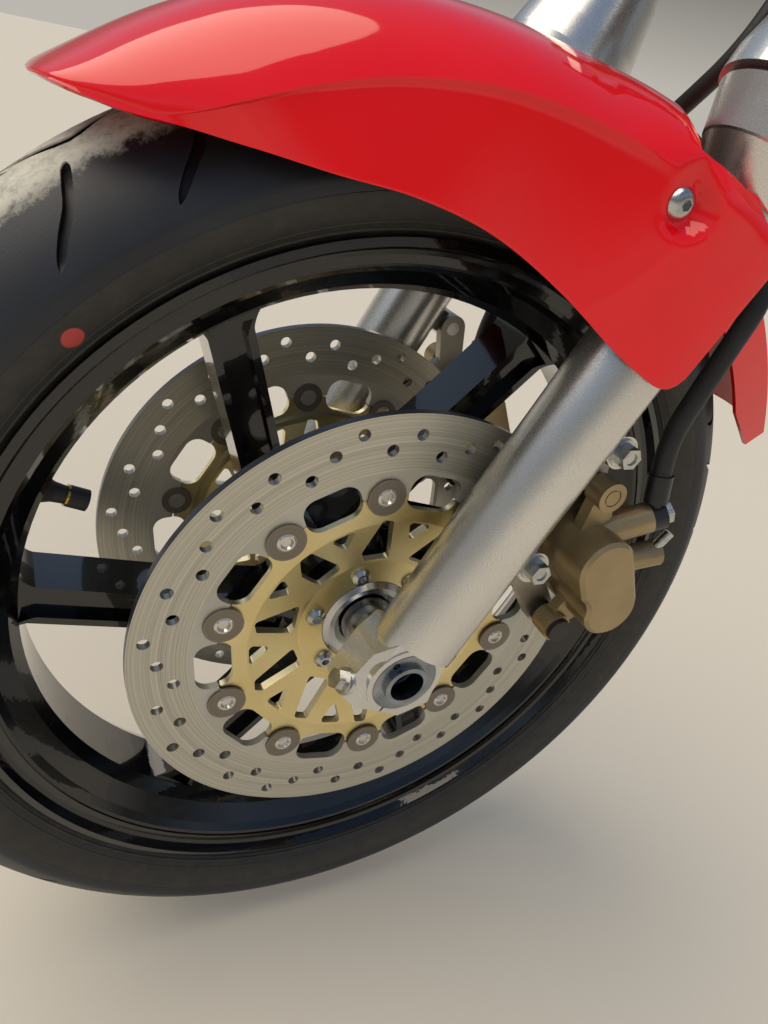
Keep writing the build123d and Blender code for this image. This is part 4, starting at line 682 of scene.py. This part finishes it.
# %% One groove
# Stations: degrees from the crown, degrees round the wheel, half the width in millimetres
CROWN_GROOVE = [
    (-6.5, 47.5, 0.6),
    (-3.5, 49.5, 2.3),
    (3.0, 52.7, 2.9),
    (9.6, 56.0, 3.1),
    (4.2, 58.6, 2.8),
    (-1.8, 61.2, 2.2),
    (-4.5, 62.3, 0.6),
]
SHOULDER_GROOVE = [
    (22.5, 54.8, 0.5),
    (25.5, 54.6, 2.3),
    (32.0, 54.1, 2.6),
    (41.0, 53.2, 2.7),
    (49.0, 51.5, 2.4),
    (55.5, 50.1, 1.9),
    (58.8, 49.4, 0.5),
]
BENT_GROOVE = [
    (28.0, 50.5, 0.5),
    (32.0, 51.4, 1.8),
    (39.0, 53.4, 2.3),
    (47.0, 54.4, 2.4),
    (54.0, 54.6, 2.0),
    (60.5, 53.6, 0.5),
]
STEPS_PER_STATION = 3
FULL_DEPTH_FROM = 1.8
ABOVE_TREAD = 1.0


def on_tread(lean, angle, height=0.0):
    """A point on the tread or above it, leaning from the crown to the left."""
    radius = TREAD_CENTRE + (TREAD_ROUND + height) * math.cos(math.radians(lean))
    return on_wheel(radius, angle, (TREAD_ROUND + height) * math.sin(math.radians(lean)))


def groove_squares(stations, depth, side, shift):
    """The cutter's square at each step: a matrix with its width, its depth and its way ahead."""
    rows = [(index, *station) for index, station in enumerate(stations)]
    steps = range(STEPS_PER_STATION * (len(stations) - 1) + 1)
    fine = [between(rows, step / STEPS_PER_STATION) for step in steps]
    path = [(side * lean, angle + shift, half_width) for lean, angle, half_width in fine]
    points = [on_tread(lean, angle) for lean, angle, _ in path]
    squares = []
    for index, (lean, angle, half_width) in enumerate(path):
        forward = (points[min(index + 1, len(path) - 1)] - points[max(index - 1, 0)]).normalized()
        out = (on_tread(lean, angle, 1.0) - points[index]).normalized()
        aside = forward.cross(out).normalized()
        floor = depth * min(1.0, half_width / FULL_DEPTH_FROM)
        columns = (aside * half_width * MM, out * (floor / 2 + ABOVE_TREAD) * MM, forward * MM)
        square = Matrix([[*row, 0] for row in zip(*columns)] + [[0, 0, 0, 1]])
        squares.append(Matrix.Translation(points[index] + out * (ABOVE_TREAD - floor / 2) * MM) @ square)
    return squares


def groove(mesh, stations, depth, side, shift):
    """Sweep one cutter; side is 1 for the left and -1 for the right, shift turns it round the wheel."""
    squares = groove_squares(stations, depth, side, shift)
    made = bmesh.ops.create_grid(mesh, x_segments=1, y_segments=1, size=1.0)["verts"]
    bmesh.ops.transform(mesh, matrix=squares[0], verts=made)
    face = made[0].link_faces[0]
    for before, after in zip(squares, squares[1:]):
        grown = bmesh.ops.extrude_face_region(mesh, geom=[face])["geom"]
        if before is not squares[0]:
            bmesh.ops.delete(mesh, geom=[face], context="FACES_ONLY")
        face = next(item for item in grown if isinstance(item, bmesh.types.BMFace))
        bmesh.ops.transform(mesh, matrix=after @ before.inverted(), verts=face.verts)


# %% [markdown]
# The tread repeats every 12 degrees: a groove beside the crown, on one side and then on the other, and
# one on each shoulder, where every fifth is the bent one. All the cutters are carved out at once.

# %% Tread grooves
PITCHES = 30
PITCH = 360 / PITCHES
CROWN_DEPTH = 3.6
SHOULDER_DEPTH = 3.2
BENT_EVERY = 5

cutters = bmesh.new()
for pitch in range(PITCHES):
    shift = pitch * PITCH
    on_left = BENT_GROOVE if pitch % BENT_EVERY == 3 else SHOULDER_GROOVE
    on_right = BENT_GROOVE if pitch % BENT_EVERY == 1 else SHOULDER_GROOVE
    groove(cutters, CROWN_GROOVE, CROWN_DEPTH, (-1) ** pitch, shift)
    groove(cutters, on_left, SHOULDER_DEPTH, 1, shift)
    groove(cutters, on_right, SHOULDER_DEPTH, -1, shift + PITCH / 2)
bmesh.ops.recalc_face_normals(cutters, faces=cutters.faces)
print("groove cutters", PITCHES * 3)
carve(tyre, shape_of("groove_cutters", cutters))

# %% [markdown]
# Three thin moulded rings on each sidewall are small circles, spun about the axle and half sunk in the
# rubber. With them the tyre is whole.

# %% Sidewall rings
# Rings: the radius and the distance from the middle plane, then half the ring's width
SIDEWALL_RINGS = [(255.0, 59.5, 0.7), (240.5, 53.7, 0.8), (236.6, 50.6, 1.0)]
RING_SIDES = 8

hoops = bmesh.new()
for radius, across, half_width in SIDEWALL_RINGS:
    for side in (1, -1):
        made = bmesh.ops.create_circle(hoops, segments=RING_SIDES, radius=half_width * MM)["verts"]
        where = Matrix.Translation(on_wheel(radius, 0, across * side)) @ Matrix.Rotation(math.pi, 4, "Z")
        bmesh.ops.transform(hoops, matrix=where, verts=made)
        hoop = made + list({edge for vert in made for edge in vert.link_edges})
        spun(hoops, hoop, AXLE, LEFT, 360, SPIN_STEPS, merge=True)
close(hoops)
hoops.from_mesh(tyre.data)
hoops.to_mesh(tyre.data)
hoops.free()
dress(tyre, tyre_rubber, "wheel", "tyre_rubber", "tyre")

# %% [markdown]
# **The front mudguard** is one moulded sheet with a wrapped front, a convex crown, a crease along each
# flank and a flat side panel below it. A grid is bent over the tyre: its rows follow sections that are
# measured at angles round the wheel. Across, each half of a section is a curve from the crown down into
# the crease, then a straight panel with a shallow gutter under the crease where that is sharp.

# %% Mudguard sheet
# Sections: angle, the crown's radius, then the crease and the edge, each as (across, radius)
GUARD_ROWS = [
    (56.1, 327.4, 12.0, 326.9, 13.5, 326.7),
    (56.6, 328.0, 27.0, 325.8, 28.5, 325.4),
    (57.3, 328.2, 37.0, 322.8, 38.5, 321.8),
    (58.4, 328.3, 45.0, 317.5, 46.5, 315.8),
    (60.3, 328.6, 54.0, 309.5, 55.5, 306.8),
    (63.0, 329.5, 61.0, 300.5, 61.8, 297.8),
    (68.0, 331.2, 67.3, 298.0, 66.5, 282.5),
    (75.0, 333.1, 69.3, 299.0, 73.0, 266.3),
    (83.0, 333.8, 73.5, 300.5, 79.5, 255.0),
    (91.0, 332.6, 85.0, 300.8, 88.5, 243.5),
    (99.0, 331.4, 104.0, 297.0, 105.5, 228.5),
    (107.0, 331.3, 128.5, 291.3, 122.0, 214.5),
    (114.0, 333.7, 133.0, 289.0, 131.5, 210.0),
    (116.4, 334.0, 134.0, 289.0, 133.0, 212.0),
    (117.6, 334.0, 134.0, 289.0, 133.5, 217.0),
    (118.0, 334.0, 134.0, 289.0, 133.8, 222.0),
]
CREASE_SHARE = 0.6
SHARP_FROM = (61.0, 70.0)
SHARP_TO = (99.0, 105.0)
GUTTER = 1.8
GUTTER_START = 0.06


def eased(value, low, high):
    """0 below low, 1 above high, smooth between."""
    share = min(max((value - low) / (high - low), 0.0), 1.0)
    return share * share * (3 - 2 * share)


def guard_point(angle, share):
    """A point of the sheet's outside, from -1 at the right edge to 1 at the left one."""
    crown, crease_y, crease_r, edge_y, edge_r = between(GUARD_ROWS, angle)
    side = -1 if share < 0 else 1
    share = abs(share)
    sharp = eased(angle, *SHARP_FROM) * (1 - eased(angle, *SHARP_TO))
    if share <= CREASE_SHARE:
        along = share / CREASE_SHARE
        bends = [
            (0.0, crown),
            (0.66 * crease_y, crown),
            ((0.97 - 0.09 * sharp) * crease_y, crease_r + (0.5 - 0.16 * sharp) * (crown - crease_r)),
            (crease_y, crease_r),
        ]
        weights = [(1 - along) ** 3, 3 * (1 - along) ** 2 * along, 3 * (1 - along) * along**2, along**3]
        across = sum(weight * bend[0] for weight, bend in zip(weights, bends))
        radius = sum(weight * bend[1] for weight, bend in zip(weights, bends))
    else:
        along = (share - CREASE_SHARE) / (1 - CREASE_SHARE)
        gutter = GUTTER * sharp * min(along / GUTTER_START, 1.0) * (1 - along)
        across = crease_y + (edge_y - crease_y) * along - gutter
        radius = crease_r + (edge_r - crease_r) * along
    return on_wheel(radius, angle, across * side)


# %% [markdown]
# Round each mudguard bolt the sheet is pressed in. The hollow is a long U, open towards the crown: its
# floor is flat at the bolt's seat, its walls rise at the left, the bottom and the right.

# %% Hollow round the bolt
# The bolt's place: millimetres ahead of the axle and up the leg
BOLT_PLACE = (46.0, 278.5)
HOLLOW_RUN = (0.58, 0.81)
HOLLOW_FLOOR = 118.6
HOLLOW_WALL = (8.5, 15.0)


def pressed_in(point):
    """Move a point of the side panel down into the hollow round the bolt."""
    offset = point - AXLE
    ahead = offset.dot(AHEAD) / MM - BOLT_PLACE[0]
    up = offset.dot(UP) / MM - BOLT_PLACE[1]
    along = ahead * HOLLOW_RUN[0] + up * HOLLOW_RUN[1]
    aside = ahead * HOLLOW_RUN[1] - up * HOLLOW_RUN[0]
    away = math.hypot(min(along, 0.0), aside)
    deep = 1 - eased(away, *HOLLOW_WALL)
    over = abs(point.y) / MM - HOLLOW_FLOOR
    if over <= 0 or deep <= 0:
        return point
    return Vector((point.x, math.copysign(HOLLOW_FLOOR + over * (1 - deep), point.y) * MM, point.z))


# %% [markdown]
# The grid gets its shape, then Solidify gives the sheet its thickness inwards, and a small bevel rolls
# its edge. Solidify follows the normals, so one face over the tyre is asked whether it looks outwards.

# %% Bent and thickened
GRID_ACROSS = 188
GRID_ALONG = 150
SHEET_THICK = 3.0
LIP_WIDTH = 0.8
LIP_CORNER = 60.0
OVER_CROWN = on_wheel(336, 80)

guard_mesh = bmesh.new()
bmesh.ops.create_grid(guard_mesh, x_segments=GRID_ACROSS, y_segments=GRID_ALONG, size=1.0)
first, last = GUARD_ROWS[0][0], GUARD_ROWS[-1][0]
for vert in guard_mesh.verts:
    angle = first + (last - first) * (vert.co.y + 1) / 2
    vert.co = pressed_in(guard_point(angle, vert.co.x))
guard_mesh.normal_update()
middle = min(guard_mesh.faces, key=lambda face: (face.calc_center_median() - OVER_CROWN).length)
if middle.normal.dot(middle.calc_center_median() - AXLE) < 0:
    bmesh.ops.reverse_faces(guard_mesh, faces=guard_mesh.faces)
guard = shape_of("mudguard_sheet", guard_mesh)
wall = guard.modifiers.new("wall", "SOLIDIFY")
wall.thickness = SHEET_THICK * MM
wall.offset = -1.0
lip = guard.modifiers.new("lip", "BEVEL")
lip.width = LIP_WIDTH * MM
lip.segments = 2
lip.limit_method = "ANGLE"
lip.angle_limit = math.radians(LIP_CORNER)
apply_modifiers(guard)
print("mudguard from", first, "to", last, "degrees round the wheel")

# %% [markdown]
# The fork legs pass through the sheet. Each opening has two widths, a wide one round the leg's cover and
# a narrow one round the slider below it, so two rods on the leg's axis are carved out.

# %% Leg openings
LEG_ACROSS = 103.5
# Openings: the radius, then how far up the leg each begins and ends
COVER_OPENING = (54.0, 300.0, 394.0)
SLIDER_OPENING = (27.3, 278.0, 302.0)
OPENING_SIDES = 96


def rod(mesh, radius, length, sides, where):
    """A closed rod along Z, of as many sides as given, put in place by a matrix."""
    made = bmesh.ops.create_cone(
        mesh, cap_ends=True, segments=sides, radius1=radius * MM, radius2=radius * MM, depth=length * MM
    )["verts"]
    bmesh.ops.transform(mesh, matrix=where, verts=made)


openings = bmesh.new()
for side in (1, -1):
    for radius, low, high in (COVER_OPENING, SLIDER_OPENING):
        centre = Matrix.Translation(on_leg(0, LEG_ACROSS * side, (low + high) / 2))
        rod(openings, radius, high - low, OPENING_SIDES, centre @ Matrix.Rotation(-RAKE, 4, "Y"))
carve(guard, shape_of("leg_openings", openings))
dress(guard, lacquer, "fork", "red_gloss_paint", "mudguard")

# %% [markdown]
# **Mudguard bolts.** Each is a zinc plated button head with a hexagon socket, in the hollow's floor. The
# head's outline comes off the lathe, and a rod with six sides makes the socket.

# %% Mudguard bolts
BOLT_SEAT = 118.5
# Outline: radius and height over the seat, from the shank's end to the middle of the head
BOLT_OUTLINE = [
    (0, -15),
    (4, -15),
    (4, 0),
    (7.1, 0),
    (7.3, 0.8),
    (7.0, 1.5),
    (6.3, 2.8),
    (5.1, 3.8),
    (3.6, 4.3),
    (0, 4.4),
]
SOCKET_REACH = 2.7
SOCKET_DEPTH = 2.6
SOCKET_TURN = 0.3

for name, side in (("left_mudguard_bolt", 1), ("right_mudguard_bolt", -1)):
    seat = on_leg(BOLT_PLACE[0], BOLT_SEAT * side, BOLT_PLACE[1])
    bolt = off_lathe(name, BOLT_OUTLINE, seat, LEFT * side)
    top = Matrix.Translation(seat + LEFT * side * BOLT_OUTLINE[-1][1] * MM)
    sideways = Matrix.Rotation(math.pi / 2, 4, "X") @ Matrix.Rotation(SOCKET_TURN, 4, "Z")
    socket = bmesh.new()
    rod(socket, SOCKET_REACH, 2 * SOCKET_DEPTH, 6, top @ sideways)
    carve(bolt, shape_of("socket", socket))
    dress(bolt, zinc, "fork", "zinc_steel", "mudguard_bolts")

# %% [markdown]
# **Brass ring.** Between the valve's rubber stem and its cap a thin brass ring shows, a square outline
# spun about the valve's own axis, which points at the axle.

# %% Valve ring
VALVE_RING_AT = 182.6
VALVE_ANGLE = 21.0
RING_OUTLINE = [(4.4, 0.8), (6.2, 0.8), (6.2, -0.6), (4.4, -0.6), (4.4, 0.8)]

brass = metal("brass", "#a9812f", "#c9a557", 0.25, 0.5)
ring_place = on_wheel(VALVE_RING_AT, VALVE_ANGLE)
ring = off_lathe("valve_ring", RING_OUTLINE, ring_place, (AXLE - ring_place).normalized())
dress(ring, brass, "wheel", "zinc_steel")

# %% [markdown]
# A plain pale floor, under the tyre and far wider than any view of it.

# %% Floor
FLOOR_HALF = 30.0

floor_mesh = bmesh.new()
bmesh.ops.create_grid(floor_mesh, x_segments=1, y_segments=1, size=FLOOR_HALF)
bmesh.ops.translate(floor_mesh, verts=floor_mesh.verts, vec=(0, 0, FLOOR_Z))
floor = shape_of("floor", floor_mesh)
concrete = new_finish("pale_floor", Base_Color=linear("#c9c2b4"), Roughness=0.8)[0]
floor.data.materials.append(concrete)
print("floor", 2 * FLOOR_HALF, "m wide")

# %% [markdown]
# Soft light comes from two wide lamps. The first, high ahead, stands for the sun behind thin haze. The
# second, on the left, lifts the shadows there, and is kept out of mirror images.


# %% Lamps
def sun(name, towards, width, strength, colour):
    """A distant lamp, some degrees wide, whose light comes from a direction."""
    data = bpy.data.lights.new(name, "SUN")
    data.angle = math.radians(width)
    data.energy = strength
    data.color = linear(colour)[:3]
    made = bpy.data.objects.new(name, data)
    made.rotation_mode = "QUATERNION"
    made.rotation_quaternion = Vector(towards).to_track_quat("Z", "Y")
    bpy.context.scene.collection.objects.link(made)
    print(name, "from", towards)
    return made


sun("key_lamp", (0.4, -0.2, 0.9), 64.0, 2.6, "#fff0d8")
side_lamp = sun("side_lamp", (0.15, 0.9, 0.5), 60.0, 1.5, "#fff6ea")
side_lamp.visible_glossy = False

# %% [markdown]
# The world is a plain sky over a darker belt, as of distant trees, and pale ground below the horizon:
# metals and lacquer need dark to mirror as much as light, or they look grey. The ramp runs from a little
# below the horizon to straight up.

# %% Sky
LOWEST = -0.1
SKY_STRENGTH = 0.8
SKY_STOPS = [
    (0.0, "#d2cdc6"),
    (0.13, "#cdc8bf"),
    (0.24, "#7b7973"),
    (0.34, "#787d82"),
    (0.5, "#a9bbd3"),
    (0.7, "#7e98bc"),
    (1.0, "#6482ab"),
]

world = bpy.data.worlds.new("sky")
bpy.context.scene.world = world
world.use_nodes = True
tree = world.node_tree
height = add(tree, "SeparateXYZ", {"Vector": add(tree, "TexCoord").outputs["Generated"]}).outputs["Z"]
share = add(tree, "MapRange", {"Value": height, "From Min": LOWEST, "From Max": 1.0})
sky = add(tree, "ValToRGB", {"Fac": share}, SKY_STOPS)
fill(tree, tree.nodes["Background"], {"Color": sky, "Strength": SKY_STRENGTH})
bpy.context.scene.view_settings.view_transform = "Standard"
print("sky with", len(SKY_STOPS), "stops")

# %% [markdown]
# Any solid part that is left without a finish is printed.

# %% Parts without a finish
for node in frame["nodes"].values():
    if not node.data.materials:
        print("no finish on", node.name)
